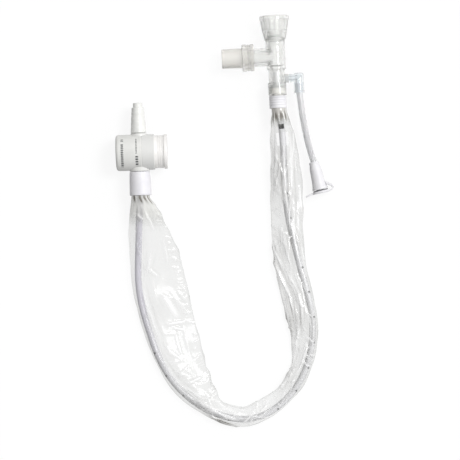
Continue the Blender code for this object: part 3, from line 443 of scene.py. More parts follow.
@dataclass(frozen=True)
class Vinyl(Finish):
    """Extruded clear PVC tube: a milky wall with a glossy skin and lengthwise die lines.

    The pattern follows the tube's own UV map, u once around and v in metres along it, so the printed
    depth scale keeps its real 20 mm pitch. Its matt black ink stays black under the lamps.
    `painted_bore_glow` is a colour of painted light and the metres between which it fades, `marks` the
    first mark, the pitch and the last mark, and `band` the end band's middle and half length and the half
    of its width around the tube.
    """

    ink: str = "#0E0E10"
    second: str = "#EDEDEF"
    # painted light along the bore near the valve
    painted_bore_glow: tuple[str, float, float] | None = None
    marks: tuple[float, float, float] | None = None
    band: tuple[float, float, float] | None = None
    clarity: float = 0.42

    def dress(self, graph: Graph, shader: Node, place: Place) -> None:
        """Die lines, painted light along the bore near the valve, and the printed scale."""
        lines = graph.mottle(graph.stretched("run", (26.0, 40.0, 1.0)), 1.0)
        axis = graph.parts(node(graph.tree, "ShaderNodeUVMap", {"uv_map": "run"}).outputs["UV"])
        colour = graph.tone(lines, self.colour, self.second)
        if self.painted_bore_glow:
            # painted light: the lilac that light running down the bore from the valve end shows there
            lilac, near, far = self.painted_bore_glow
            colour = graph.tone(graph.ramp(axis["Y"], near, far, 1.0, 0.0), colour, lilac)
        masks = []
        if self.marks:
            masks.append(self.scale_marks(graph, axis))
        if self.band:
            middle, half, around = self.band
            masks.append(graph.calc("MULTIPLY", graph.calc("COMPARE", axis["Y"], middle, half),
                                    graph.calc("COMPARE", axis["X"], 0.75, around)))
        clarity = self.clarity
        if masks:
            cover = graph.strongest(masks)
            colour = graph.tone(cover, colour, self.ink)
            clarity = graph.ramp(cover, 0.0, 1.0, self.clarity, 0.0)
            feed(graph.tree, shader, {"Specular IOR Level": graph.ramp(cover, 0.0, 1.0, 0.5, 0.1)})
        feed(graph.tree, shader, {
            "Base Color": colour, "IOR": 1.52, "Transmission Weight": clarity,
            "Normal": graph.bump(lines, 0.35, 0.04),
            "Roughness": graph.ramp(lines, 0.0, 1.0, self.roughness - 0.05, self.roughness + 0.08)})

    def scale_marks(self, graph: Graph, axis: Outputs) -> Socket:
        """Mask of the depth scale: two short strokes at each mark, printed thinly."""
        first, pitch, last = self.marks
        strokes = []
        # shift and half width along the tube in millimetres, then place and half width around it
        for shift, half, middle, reach in ((0.0, 0.45, 0.62, 0.08), (0.7, 0.4, 0.64, 0.05)):
            along = graph.calc("SUBTRACT", axis["Y"], first + shift * MM)
            tick = graph.calc("COMPARE", graph.calc("PINGPONG", along, pitch / 2), 0.0, half * MM)
            strokes.append(graph.calc("MULTIPLY", tick, graph.calc("COMPARE", axis["X"], middle, reach)))
        inside = graph.calc("COMPARE", axis["Y"], (first + last) / 2, (last - first) / 2 + 0.004)
        return graph.calc("MULTIPLY", graph.strongest(strokes), graph.calc("MULTIPLY", inside, 0.7))


@dataclass(frozen=True)
class ThinFilm(Finish):
    """Blown polyethylene film, 0.05 mm thick, loose and crumpled.

    The eye sees a thin grey veil where two layers each reflect a little of the room, painted as a grey
    cover; a painted highlight where a sharp crease catches the light, and grey where it is seen edge-on,
    from the cover at grazing angles and from painted shade. The mesh carries the attribute "crease": red
    for painted highlights on bright ridges, green for painted shade in valleys, gathers and along the
    film's edges, blue for film that lies in many layers.
    """

    # painted highlight for bright ridges, painted shade for shadowed valleys; the layered tone is the film's own
    painted_highlight: str = "#FFFFFF"
    painted_valley_shade: str = "#7F7B74"
    layers: str = "#EDEDE9"
    veil: float = 0.115

    def dress(self, graph: Graph, shader: Node, place: Place) -> None:
        """Colour and cover from the creases' painted highlights and painted shade, with fine crinkles."""
        crease = node(graph.tree, "ShaderNodeAttribute", {"attribute_name": "crease"}).outputs["Color"]
        part = node(graph.tree, "ShaderNodeSeparateColor", None, {"Color": crease}).outputs
        # red paints the highlight of ridges and green paints the shade of valleys and edges
        tone = graph.tone(graph.ramp(part["Red"], high=0.35), self.colour, self.painted_highlight)
        tone = graph.tone(part["Blue"], tone, self.layers)
        tone = graph.tone(graph.ramp(part["Green"], high=0.5), tone, self.painted_valley_shade)
        crinkle = graph.mottle(graph.stretched("flat", (150.0, 70.0, 1.0)), 1.0, 1.0, 0.4, 0.8)
        normal = graph.bump(crinkle, 0.35, 0.4)
        edge = node(graph.tree, "ShaderNodeLayerWeight", None, {"Blend": 0.12, "Normal": normal})
        cover = graph.calc("MULTIPLY", edge.outputs["Facing"], 0.22)
        for channel, weight in (("Red", 0.7), ("Green", 0.6), ("Blue", 0.5)):
            cover = graph.calc("MULTIPLY_ADD", part[channel], weight, cover)
        feed(graph.tree, shader, {
            "Base Color": tone, "IOR": 1.51, "Specular IOR Level": 1.0, "Normal": normal,
            "Alpha": graph.calc("ADD", cover, self.veil, clamp=True)})


@dataclass(frozen=True)
class Tabletop(Finish):
    """Seamless matt paper sweep. The camera, mirrors and clear walls see it as plain white, with a pale shadow."""

    backlit: float = 0.88

    def dress(self, graph: Graph, shader: Node, place: Place) -> Socket:
        """Paper that is seen white but lights the object like grey."""
        path = node(graph.tree, "ShaderNodeLightPath").outputs
        seen = graph.strongest([path[f"Is {ray} Ray"] for ray in ("Camera", "Glossy", "Transmission")])
        paper = graph.ramp(graph.mottle(graph.millimetres(place), 0.8, 3.0), 0.0, 1.0, 0.985, 1.0)
        feed(graph.tree, shader, {"Base Color": graph.tone(seen, self.colour, paper), "Specular IOR Level": 0.0})
        lit = node(graph.tree, "ShaderNodeEmission", None, {"Color": WHITE, "Strength": 1.0})
        return graph.layer(graph.calc("MULTIPLY", seen, self.backlit), shader.outputs[0], lit.outputs[0])


# ---------------------------------------------------------------- pieces


def link(made: bpy.types.Object) -> bpy.types.Object:
    """Put an object into the scene."""
    bpy.context.scene.collection.objects.link(made)
    return made


def mesh_of(name: str, form: Form, sharp: float | None = None) -> bpy.types.Mesh:
    """Turn a bmesh, used up here, into a mesh.

    Args:
        name: the mesh's name.
        form: its data.
        sharp: angle in degrees past which an edge of the smooth mesh stays crisp, or None for a raw mesh.

    Returns:
        The mesh.
    """
    mesh = bpy.data.meshes.new(name)
    form.to_mesh(mesh)
    form.free()
    if sharp is not None:
        mesh.shade_smooth()
        mesh.set_sharp_from_angle(angle=math.radians(sharp))
    return mesh


def register(name: str, mesh: bpy.types.Mesh, finish: bpy.types.Material, body: str,
             stands_for: Sequence[str] = ()) -> bpy.types.Object:
    """Put a mesh into the scene, tie it to its body and report it.

    Args:
        name: the object's name.
        mesh: its mesh, in metres in the shared frame.
        finish: its material.
        body: the moving body that carries it, or nothing where it bends between two.
        stands_for: CAD nodes that it is shown in place of.

    Returns:
        The new object.
    """
    mesh.materials.append(finish)
    made = link(bpy.data.objects.new(name, mesh))
    if body:
        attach(made, body)
    if stands_for:
        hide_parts(*stands_for)
    LOG.info("%s: %d faces on %s", name, len(mesh.polygons), body)
    return made


def dress_node(name: str, finish: bpy.types.Material) -> None:
    """Give a CAD node its finish in every slot."""
    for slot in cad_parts[name].material_slots:
        slot.material = finish
    LOG.info("%s: CAD piece in %s", name, finish.name)


class Solid:
    """A closed form in an assembly's millimetres, shaped by mesh operators and Booleans."""

    SHARP_FROM = math.radians(20)
    SAME_POINT = 1e-4
    ON_AXIS = 1e-6

    def __init__(self, form: Form, edge: float = 0.0) -> None:
        """Take over the bmesh and round its edges.

        Args:
            form: the mesh data, in millimetres.
            edge: radius for every edge that turns by more than twenty degrees, or 0 to leave them.
        """
        self.form = form
        if edge:
            sharp = [e for e in form.edges if len(e.link_faces) == 2 and e.calc_face_angle() > self.SHARP_FROM]
            bmesh.ops.bevel(form, geom=sharp, offset=edge, offset_type="OFFSET", segments=3, profile=0.5,
                            affect="EDGES", clamp_overlap=True, material=-1)

    @classmethod
    def turned(cls, outline: Outline, axis: Axis = Axis.ALONG_Y, steps: int = 96, at: Point = (0, 0, 0)) -> "Solid":
        """Spin an outline about its axis, as on a lathe.

        Args:
            outline: closed outline as (along, radius) pairs.
            axis: the axis that it is spun about.
            steps: number of steps in the full turn.
            at: a point on the axis.

        Returns:
            The solid of revolution.
        """
        form = bmesh.new()
        verts = [form.verts.new((along, radius, 0.0)) for along, radius in outline]
        edges = [form.edges.new(pair) for pair in zip(verts, verts[1:] + verts[:1])
                 if max(pair[0].co.y, pair[1].co.y) > cls.ON_AXIS]
        bmesh.ops.spin(form, geom=verts + edges, cent=(0, 0, 0), axis=(1, 0, 0), angle=TURN, steps=steps,
                       use_merge=True)
        bmesh.ops.remove_doubles(form, verts=form.verts, dist=cls.SAME_POINT)
        bmesh.ops.recalc_face_normals(form, faces=form.faces)
        if axis is Axis.ALONG_Y:
            bmesh.ops.rotate(form, verts=form.verts, cent=(0, 0, 0), matrix=Matrix.Rotation(math.pi / 2, 3, "Z"))
        bmesh.ops.translate(form, verts=form.verts, vec=at)
        return cls(form)

    @classmethod
    def drill(cls, start: float, end: float, radius: float, axis: Axis = Axis.ALONG_Y, steps: int = 96,
              at: Point = (0, 0, 0)) -> "Solid":
        """Round bar that cuts a bore."""
        return cls.turned([(start, 0), (start, radius), (end, radius), (end, 0)], axis, steps, at)

    @classmethod
    def block(cls, low: Point, high: Point, edge: float = 0.0) -> "Solid":
        """Box between two corners with rounded edges."""
        form = bmesh.new()
        size = Vector(high) - Vector(low)
        middle = (Vector(high) + Vector(low)) / 2
        bmesh.ops.create_cube(form, size=1.0, matrix=Matrix.Translation(middle) @ Matrix.Diagonal((*size, 1.0)))
        return cls(form, edge)

    @classmethod
    def plate(cls, outline: Outline, half: float, edge: float) -> "Solid":
        """Extrude a flat outline, seen from above, by half its thickness each way and round its edges."""
        form = bmesh.new()
        base = form.faces.new([form.verts.new((x, y, -half)) for x, y in outline])
        raised = bmesh.ops.extrude_face_region(form, geom=[base])["geom"]
        lifted = [part for part in raised if isinstance(part, bmesh.types.BMVert)]
        bmesh.ops.translate(form, verts=lifted, vec=(0, 0, 2 * half))
        bmesh.ops.recalc_face_normals(form, faces=form.faces)
        return cls(form, edge)

    def shaped(self, tool: "Solid", fit: Fit) -> None:
        """Join a tool body to this solid or cut it away.

        Args:
            tool: the other solid, used up here.
            fit: unite or cut.
        """
        pair = [link(bpy.data.objects.new("work", mesh_of("work", solid.form))) for solid in (self, tool)]
        modifier = pair[0].modifiers.new("shape", "BOOLEAN")
        modifier.operation = fit.value
        modifier.solver = "EXACT"
        modifier.object = pair[1]
        result = pair[0].evaluated_get(bpy.context.evaluated_depsgraph_get())
        self.form = bmesh.new()
        self.form.from_mesh(result.to_mesh())
        result.to_mesh_clear()
        for piece in pair:
            mesh = piece.data
            bpy.data.objects.remove(piece)
            bpy.data.meshes.remove(mesh)

    def with_part(self, other: "Solid") -> None:
        """Add another closed form to the same piece, as a shell of its own."""
        mesh = mesh_of("work", other.form)
        self.form.from_mesh(mesh)
        bpy.data.meshes.remove(mesh)

    def piece(self, name: str, place: Place, finish: Finish, body: str, stands_for: Sequence[str] = (),
              slot: str | None = None, sharp: float = 32.0) -> bpy.types.Object:
        """Turn the solid into a finished piece of the scene.

        Args:
            name: the object's name.
            place: the assembly that its millimetres belong to.
            finish: its finish.
            body: the moving body that carries it, or nothing where it bends between two.
            stands_for: CAD nodes that it is shown in place of.
            slot: the record's material slot; not used.
            sharp: angle in degrees past which an edge stays crisp.

        Returns:
            The object, which sits at the origin with its place in its mesh.
        """
        bmesh.ops.transform(self.form, matrix=place.matrix(), verts=self.form.verts)
        return register(name, mesh_of(name, self.form, sharp), finish.build(place), body, stands_for)


# ---------------------------------------------------------------- studio


@dataclass
class Studio:
    """Camera straight above, a soft key from the upper right, an even sky and a paper sweep."""

    camera_at: Point = (0.0041, -0.0069, 1.9)
    lens: float = 187.5
    floor_size: float = 8.0
    floor_drop: float = 0.00005
    key_from: Point = (0.58, 0.30, 1.0)
    key_strength: float = 1.75
    key_spread: float = 22.0
    sky: float = 0.55
    sky_from: Point = (0.62, 0.25, 0.74)
    sky_range: tuple[float, float] = (0.28, 1.4)

    def build(self) -> None:
        """Make the camera, the lamp, the floor and the sky."""
        scene = bpy.context.scene
        scene.view_settings.view_transform = "Standard"
        data = bpy.data.cameras.new("camera")
        data.lens = self.lens
        data.sensor_width = 36.0
        data.clip_start = 0.01
        scene.camera = link(bpy.data.objects.new("camera", data))
        scene.camera.location = self.camera_at
        sun = bpy.data.lights.new("key", "SUN")
        sun.energy = self.key_strength
        sun.angle = math.radians(self.key_spread)
        key = link(bpy.data.objects.new("key", sun))
        key.location = self.key_from
        key.rotation_euler = Vector(self.key_from).to_track_quat("Z", "Y").to_euler()
        form = bmesh.new()
        bmesh.ops.create_grid(form, x_segments=4, y_segments=4, size=self.floor_size / 2)
        bmesh.ops.translate(form, verts=form.verts, vec=(0, 0, CAD_BOX[0][2] - self.floor_drop))
        table = link(bpy.data.objects.new("table", mesh_of("table", form)))
        table.data.materials.append(Tabletop("matt white paper sweep", "#BDBDBC", 0.9).build())
        self.sky_dome()

    def sky_dome(self) -> None:
        """Light the room softly, dimmer towards the lower left, and show it white to the camera."""
        world = bpy.data.worlds.new("room")
        bpy.context.scene.world = world
        world.use_nodes = True
        tree = world.node_tree
        tree.nodes.clear()
        graph = Graph(tree)
        way = node(tree, "ShaderNodeTexCoord")
        side = node(tree, "ShaderNodeVectorMath", {"operation": "DOT_PRODUCT"}, {
            0: way.outputs["Generated"], 1: self.sky_from})
        low, high = (self.sky * share for share in self.sky_range)
        level = graph.ramp(side.outputs["Value"], -0.35, 0.85, low, high, kind="SMOOTHSTEP")
        light, shown = (node(tree, "ShaderNodeBackground", None, {"Color": WHITE, "Strength": strength}).outputs[0]
                        for strength in (level, 1.0))
        path = node(tree, "ShaderNodeLightPath").outputs
        node(tree, "ShaderNodeOutputWorld", None, {"Surface": graph.layer(path["Is Camera Ray"], light, shown)})


# ---------------------------------------------------------------- lines


def spans(route: Sequence[Vector]) -> list[float]:
    """Distances between neighbouring points."""
    return [(far - near).length for near, far in zip(route, route[1:])]


def heading(route: Sequence[Vector], k: int) -> Vector:
    """Way along a route at its point k, of any length."""
    return route[min(k + 1, len(route) - 1)] - route[max(k - 1, 0)]


def even_places(travelled: Sequence[float], steps: int, count: int) -> Iterator[tuple[int, float]]:
    """Find the first places of those that part a path into equal steps.

    Args:
        travelled: distance travelled up to each of the path's points.
        steps: number of equal steps.
        count: number of places wanted.

    Yields:
        Index of the point before the place, and the place's share of the way to the next point.
    """
    at = 0
    for k in range(count):
        goal = travelled[-1] * k / steps
        while at < len(travelled) - 2 and travelled[at + 1] < goal:
            at += 1
        yield at, (goal - travelled[at]) / max(travelled[at + 1] - travelled[at], 1e-9)


def smooth_route(route: Sequence[Point], spacing: float) -> list[Vector]:
    """Points about `spacing` apart on a smooth curve through the route's points."""
    points = [Vector(point) for point in route]
    ends = [points[0] * 2 - points[1], *points, points[-1] * 2 - points[-2]]
    fine = []
    for a, b, c, d in zip(ends, ends[1:], ends[2:], ends[3:]):
        for t in (k / 12 for k in range(12)):
            fine.append((b * 2 + (c - a) * t + (a * 2 - b * 5 + c * 4 - d) * t * t
                         + (b * 3 - a - c * 3 + d) * t ** 3) * 0.5)
    fine.append(points[-1].copy())
    travelled = [0.0, *accumulate(spans(fine))]
    steps = max(2, round(travelled[-1] / spacing))
    return [fine[at].lerp(fine[at + 1], t) for at, t in even_places(travelled, steps, steps + 1)]


@dataclass
class Line:
    """A flexible extruded tube along a route."""

    name: str
    node_name: str
    radius: float
    bore: float
    route: list[Vector]
    finish: Vinyl
    around: int = 32

    def build(self) -> None:
        form = bmesh.new()
        travelled = [0.0, *accumulate(spans(self.route))]
        rings = []
        for k, point in enumerate(self.route):
            ahead = heading(self.route, k).normalized()
            side = Vector((-ahead.y, ahead.x, 0.0)).normalized()
            over = ahead.cross(side)
            turns = [TURN * j / self.around for j in range(self.around + 1)]
            rings.append([[form.verts.new(point + (side * math.cos(turn) - over * math.sin(turn)) * radius)
                           for turn in turns] for radius in (self.radius, self.bore)])
        strips = [(near[wall], far[wall], start, end, not wall)
                  for near, far, start, end in zip(rings, rings[1:], travelled, travelled[1:]) for wall in (0, 1)]
        strips += [(*rings[end], travelled[end], travelled[end], False) for end in (0, -1)]
        uv = form.loops.layers.uv.new("run")
        for a, b, start, end, flipped in strips:
            for j in range(self.around):
                corners = [(a[j], j, start), (a[j + 1], j + 1, start), (b[j + 1], j + 1, end), (b[j], j, end)]
                self.face(form, uv, corners[::-1] if flipped else corners)
        bmesh.ops.remove_doubles(form, verts=form.verts, dist=1e-7)
        bmesh.ops.recalc_face_normals(form, faces=form.faces)
        tube = register(self.name, mesh_of(self.name, form, 50), self.finish.build(), "set", (self.node_name,))
        LOG.info("%s: %.3f m along its middle", self.name, sum(spans(self.route)))

    def face(self, form: Form, uv: bmesh.types.BMLayerItem,
             corners: list[tuple[bmesh.types.BMVert, int, float]]) -> None:
        """Add one face with its place around and along the tube."""
        made = form.faces.new([corner[0] for corner in corners])
        for loop, (_, j, along) in zip(made.loops, corners):
            loop[uv].uv = (j / self.around, along)


@dataclass
class Lines:
    """The two free lines of the set: the sleeved catheter and the short irrigation line.

    The catheter is 0.54 m long from the valve to its tip in the manifold. Its route is measured in the
    photograph, and its heights are guessed.
    """

    catheter_route: list[Point] = field(default_factory=lambda: [
        (-0.0667, 0.0370, 0.0142), (-0.0662, 0.0229, 0.0142), (-0.0671, 0.0089, 0.0131), (-0.0677, -0.0051, 0.0103),
        (-0.0681, -0.0192, 0.0075), (-0.0685, -0.0332, 0.0054), (-0.0684, -0.0473, 0.0041),
        *((x, y, 0.0036) for x, y in (
            (-0.0667, -0.0612), (-0.0635, -0.0749), (-0.0594, -0.0883), (-0.0548, -0.1016), (-0.0490, -0.1144),
            (-0.0414, -0.1262), (-0.0319, -0.1365), (-0.0208, -0.1452), (-0.0084, -0.1517), (0.0051, -0.1556),
            (0.0191, -0.1565), (0.0325, -0.1525), (0.0442, -0.1448), (0.0539, -0.1347), (0.0614, -0.1228),
            (0.0663, -0.1097), (0.0690, -0.0959), (0.0695, -0.0819), (0.0678, -0.0679), (0.0646, -0.0542),
            (0.0609, -0.0407), (0.0574, -0.0271), (0.0539, -0.0134), (0.0509, 0.0003))),
        (0.0487, 0.0142, 0.0037), (0.0476, 0.0282, 0.0041), (0.0468, 0.0422, 0.0056), (0.0463, 0.0562, 0.0077),
        (0.0452, 0.0702, 0.0102), (0.0432, 0.0841, 0.0117), (0.0419, 0.0981, 0.0117)])
    irrigation_route: list[Point] = field(default_factory=lambda: [
        (0.05847, 0.10889, 0.0117), (0.05885, 0.10072, 0.0117), (0.0596, 0.0950, 0.0117), (0.0617, 0.0805, 0.0114),
        (0.0650, 0.0645, 0.0102), (0.0682, 0.0530, 0.0086), (0.07008, 0.04729, 0.0081), (0.07223, 0.03834, 0.0081)])

    def build(self) -> None:
        """Make both lines."""
        route = [VALVE.point((0, -16.8, 0)), *smooth_route(self.catheter_route, 0.002)[1:],
                 MANIFOLD.point((0, -22.0, 0)), MANIFOLD.point((0, -12.0, 0))]
        # the catheter's lilac near the valve is painted light along its bore
        printed = Vinyl("clear vinyl catheter", "#F9F9FB", 0.2, painted_bore_glow=("#EAE8F1", 0.10, 0.18),
                        marks=(0.1438, 0.02005, 0.4446), band=(0.4984, 0.0019, 0.14), clarity=0.16)
        Line("catheter_tube", "catheter", radius=0.00265, bore=0.0017, route=route, finish=printed).build()
        Line("irrigation_line", "irrigation_tube", radius=0.0025, bore=0.0013,
             route=smooth_route(self.irrigation_route, 0.0015),
             finish=Vinyl("clear vinyl line", "#FAFAFB", 0.16, clarity=0.6)).build()


# ---------------------------------------------------------------- film sleeve


def peak(value: float, middle: float, reach: float) -> float:
    """Tent that is 1 at the middle and falls to 0 at `reach` on either side."""
    return max(0.0, 1 - abs(value - middle) / reach)


def held_in(value: float) -> float:
    """Value held between 0 and 1."""
    return min(1.0, max(0.0, value))


@dataclass(frozen=True)
class Crease:
    """One crease of the film: its middle along and across in millimetres, its lean, and its sizes."""

    along: float
    across: float
    lean: float
    reach: float
    width: float
    height: float

    @property
    def way(self) -> tuple[float, float]:
        """Shares of its length that run along and across the sleeve."""
        return math.cos(self.lean), math.sin(self.lean)

    @property
    def span(self) -> float:
        """How far along the sleeve from its middle it can still be felt."""
        cos, sin = self.way
        return abs(cos) * self.reach + abs(sin) * self.width * FilmSleeve.felt + 1.0


@dataclass
class FilmSleeve:
    """Loose film tube gathered into the two collars and lying flat between them.

    Each row of the shape gives, in millimetres: share of the length, reach outward and inward, radii of
    the outer, middle and inner fold, and height of the underside. Each standing fold gives its middle
    along and across, lean, half length, width and height. Each row of the scattered creases gives their
    number, the shares of the length between which they lie, lean and scatter in degrees, and then the
    ranges of half length, width, height and place across.
    """

    across: int = 116
    facets: int = 360
    seed: int = 7
    flat_width: float = 0.042
    felt: float = 2.2
    band: tuple[float, float] = (0.925, 0.945)
    clamped: tuple[float, float] = (0.04, 0.977)
    lowest: float = 0.06
    highest: float = 1.6
    shape: tuple[tuple[float, ...], ...] = (
        (0.000, 7.15, 7.15, 7.15, 7.15, 7.15, 7.05), (0.034, 7.15, 7.15, 7.15, 7.15, 7.15, 7.05),
        (0.045, 7.20, 12.6, 6.60, 6.90, 6.20, 6.00), (0.060, 7.60, 18.0, 6.00, 6.80, 5.40, 5.00),
        (0.090, 8.00, 25.0, 5.20, 6.40, 3.60, 2.60), (0.120, 7.20, 31.6, 4.40, 6.00, 2.40, 1.00),
        (0.150, 5.60, 36.0, 3.90, 5.60, 1.80, 0.20), (0.180, 4.20, 38.2, 3.65, 5.20, 1.50, 0.00),
        (0.230, 3.70, 37.6, 3.60, 4.80, 1.50, 0.00), (0.280, 3.70, 36.0, 3.60, 4.80, 1.50, 0.00),
        (0.320, 4.20, 32.0, 3.60, 4.80, 1.60, 0.00), (0.355, 4.60, 26.5, 3.60, 5.00, 1.80, 0.00),
        (0.385, 4.80, 18.0, 3.60, 5.20, 2.20, 0.00), (0.415, 5.80, 9.60, 3.60, 5.00, 2.80, 0.00),
        (0.450, 5.40, 9.00, 3.60, 5.00, 2.80, 0.00), (0.485, 4.00, 12.2, 3.60, 4.80, 2.60, 0.00),
        (0.540, 3.80, 11.0, 3.60, 4.60, 2.40, 0.00), (0.580, 3.75, 12.0, 3.60, 4.60, 2.20, 0.00),
        (0.620, 3.70, 16.0, 3.60, 4.60, 2.00, 0.00), (0.680, 3.70, 20.5, 3.60, 4.80, 2.00, 0.00),
        (0.730, 4.60, 21.0, 3.60, 5.00, 2.20, 0.00), (0.780, 8.40, 17.5, 3.40, 5.40, 2.60, 0.00),
        (0.830, 12.8, 12.8, 3.20, 5.80, 3.00, 0.00), (0.870, 13.9, 10.4, 3.60, 6.20, 3.60, 0.20),
        (0.905, 12.4, 10.2, 4.20, 6.30, 4.40, 1.20), (0.935, 10.0, 9.60, 5.00, 6.20, 5.20, 3.20),
        (0.960, 7.20, 7.60, 5.80, 6.00, 5.80, 5.40), (0.977, 6.00, 6.00, 6.00, 6.00, 6.00, 5.70),
        (1.000, 6.00, 6.00, 6.00, 6.00, 6.00, 5.70))
    standing: tuple[tuple[float, ...], ...] = (
        (111, 22.5, 13, 14.5, 8.0, 0.55), (106, 20.0, 16, 9.0, 4.0, 0.5), (33.5, 0.5, 52, 4.5, 2.2, 0.9),
        (30, 5.0, 20, 6.0, 1.8, 0.7), (38, 9.5, 24, 8.0, 1.6, 0.5), (78, 11.9, 52, 7.5, 1.8, 0.7),
        (62, 22.0, 14, 15.0, 1.5, 0.45), (126, 22.0, 80, 8.5, 2.0, 0.8), (133, 16.0, 74, 8.0, 2.2, 0.35),
        (131, 22.5, 60, 5.0, 1.8, 0.8), (146, 25.0, -8, 20.0, 1.8, 0.4), (150, 12.0, 24, 14.0, 2.4, 0.6),
        (112, 4.6, 3, 26.0, 2.6, 0.8), (170, 10.0, 30, 10.0, 2.4, 0.7), (182, 14.0, 62, 7.0, 2.0, 0.7),
        (160, 2.0, 2, 24.0, 2.6, 0.9), (128, 1.4, 0, 20.0, 2.0, 0.7), (186, 5.0, 12, 12.0, 2.2, 0.7),
        (196, 1.5, 0, 16.0, 2.2, 0.8), (215, 1.8, -3, 14.0, 2.2, 0.7))
    scattered: tuple[tuple, ...] = (
        # soft folds between the standing ones, then short cross folds along the inner edge
        (7, 0.10, 0.36, 8, 26, (9, 24), (1.6, 3.4), (0.3, 0.6), (0.3, 0.9)),
        (6, 0.24, 0.36, 70, 28, (5, 13), (1.2, 2.6), (0.3, 0.6), (0.25, 0.9)),
        (70, 0.06, 0.40, 86, 12, (1.6, 4.5), (0.7, 1.3), (0.25, 0.6), (0.86, 1.0)),
        (16, 0.06, 0.40, 0, 8, (6, 18), (0.9, 1.8), (0.3, 0.5), (0.16, 0.34)),
        # crowded film round the bottom and up the right leg
        (52, 0.38, 0.62, 0, 22, (5, 16), (0.9, 2.2), (0.3, 0.8), (0.15, 0.95)),
        (44, 0.38, 0.66, 55, 40, (2.5, 7), (0.7, 1.8), (0.3, 0.8), (0.3, 1.0)),
        (54, 0.60, 0.94, 0, 9, (8, 26), (0.9, 2.2), (0.3, 0.8), (0.08, 0.95)),
        (50, 0.60, 0.92, 60, 38, (2.0, 6.5), (0.6, 1.6), (0.25, 0.7), (0.05, 0.95)),
        (16, 0.64, 0.93, 0, 4, (14, 32), (1.8, 2.8), (0.8, 1.0), (0.05, 0.95)))

    def row(self, share: float) -> list[float]:
        """Smoothly blended row of the shape table."""
        for near, far in zip(self.shape, self.shape[1:]):
            if share <= far[0]:
                t = (share - near[0]) / (far[0] - near[0])
                t = t * t * (3 - 2 * t) * 0.5 + t * 0.5
                return [a + (b - a) * t for a, b in zip(near[1:], far[1:])]
        return list(self.shape[-1][1:])

    def section(self, share: float) -> list[tuple[float, ...]]:
        """Outline of the film around its three folds, evenly spaced.

        Args:
            share: share of the sleeve's length.

        Returns:
            (sideways, height, and the outward direction's two parts) for each point, in millimetres.
        """
        outward, inward, r_out, r_mid, r_in, low = self.row(share)
        folds = [(-(outward - r_out), low + r_out, r_out), (0.3 * (inward - r_in), low + r_mid, r_mid),
                 (inward - r_in, low + r_in, r_in)]
        dense = []
        for k in range(self.facets + 1):
            angle = math.pi + TURN * k / self.facets
            c, s = math.cos(angle), math.sin(angle)
            u, z, r = max(folds, key=lambda fold: fold[0] * c + fold[1] * s + fold[2])
            dense.append((u + r * c, z + r * s, c, s))
        travelled = [0.0, *accumulate(math.dist(near[:2], far[:2]) for near, far in zip(dense, dense[1:]))]
        return [tuple(a + (b - a) * t for a, b in zip(dense[at], dense[at + 1]))
                for at, t in even_places(travelled, self.across, self.across)]

    def creases(self, length: float) -> list[Crease]:
        """Lay out the film's creases, the same ones every time, sorted along the sleeve.

        Args:
            length: length of the sleeve in millimetres.

        Returns:
            The creases.
        """
        dice = random.Random(self.seed)
        laid = [Crease(along, across, math.radians(lean), *sizes) for along, across, lean, *sizes in self.standing]
        for count, start, stop, lean, scatter, reach, width, height, side in self.scattered:
            for _ in range(count):
                share = dice.uniform(start, stop)
                outward, inward, *_ = self.row(share)
                across = -outward + (inward + outward) * dice.uniform(*side)
                laid.append(Crease(share * length, across, math.radians(lean + dice.gauss(0.0, scatter)),
                                   dice.uniform(*reach), dice.uniform(*width), dice.uniform(*height)))
        return sorted(laid, key=lambda crease: crease.along)

    def wrinkle(self, share: float, along: float, turned: float, u: float, width: float, top: float,
                near: Sequence[Crease]) -> tuple[float, float, float, float]:
        """How far the film stands off its smooth lay at one point.

        Args:
            share: share of the sleeve's length.
            along: distance along the sleeve in millimetres.
            turned: angle around the tube from its outer fold.
            u: sideways distance from the catheter in millimetres, inward positive.
            width: the tube's width here in millimetres.
            top: 1 on the upper side, 0 on the lower.
            near: the creases that may reach this station.

        Returns:
            The offset in millimetres, and the strength of painted highlight on ridges, painted shade in valleys and
            layering there.
        """
        neck = max(0.0, 1 - share / 0.09, 1 - (1 - share) / 0.11)
        # pleats where the film is drawn into the collars
        pleat = math.cos(turned * 11 + 2.4 * noise.noise(Vector((along * 0.04, turned, 3.0))))
        pleat += 0.5 * math.cos(turned * 19 + 1.0)
        crowded = held_in((38.0 - width) / 16.0) * (1 - neck)
        broad = noise.noise(Vector((along * 0.028, u * 0.075, 7.0 * top)))
        sway = noise.noise(Vector((along * 0.06, u * 0.16, 7.0 * top + 20.0)))
        lift = (broad * 1.5 + sway * (0.25 + 0.75 * crowded)) * (1 - neck)
        white = painted_shade = 0.0
        for crease in near if top else ():
            ds, du = along - crease.along, u - crease.across
            cos, sin = crease.way
            length = ds * cos + du * sin
            off = abs(du * cos - ds * sin) / crease.width
            if abs(length) > crease.reach or off > self.felt:
                continue
            fade = 1 - (length / crease.reach) ** 2
            lift += crease.height * fade * max(0.0, 1 - off) ** 1.3 * (1 - neck)
            # painted highlight along each crease's crest and painted shade beside it
            white = max(white, fade * max(0.0, 1 - off * 2.2) * crease.height)
            painted_shade = max(painted_shade, fade * max(0.0, 1 - abs(off - 1.25) * 1.6) * (crease.height - 0.2) * 0.8)
        lift += pleat * 0.55 * neck
        white = white * (1 - neck * 0.6) * (1 + 0.5 * crowded)
        # painted highlight on the pleats drawn into the collars
        white += max(0.0, pleat) * (0.35 if share < 0.5 else 0.12) * neck
        # round the bend the film is drawn out flat and hides less, so it gets less painted shade
        bend = held_in(1.5 - abs(share - 0.455) / 0.07)
        painted_shade = painted_shade * (1 - neck) * (0.4 + 0.25 * crowded) * (1 - 0.6 * bend)
        if top:
            # painted shade between the pleats at the foot of each collar
            cuff = max(peak(share, 0.036, 0.009), peak(share, 0.970, 0.011))
            painted_shade += cuff * max(0.0, 0.25 - pleat * 0.75)
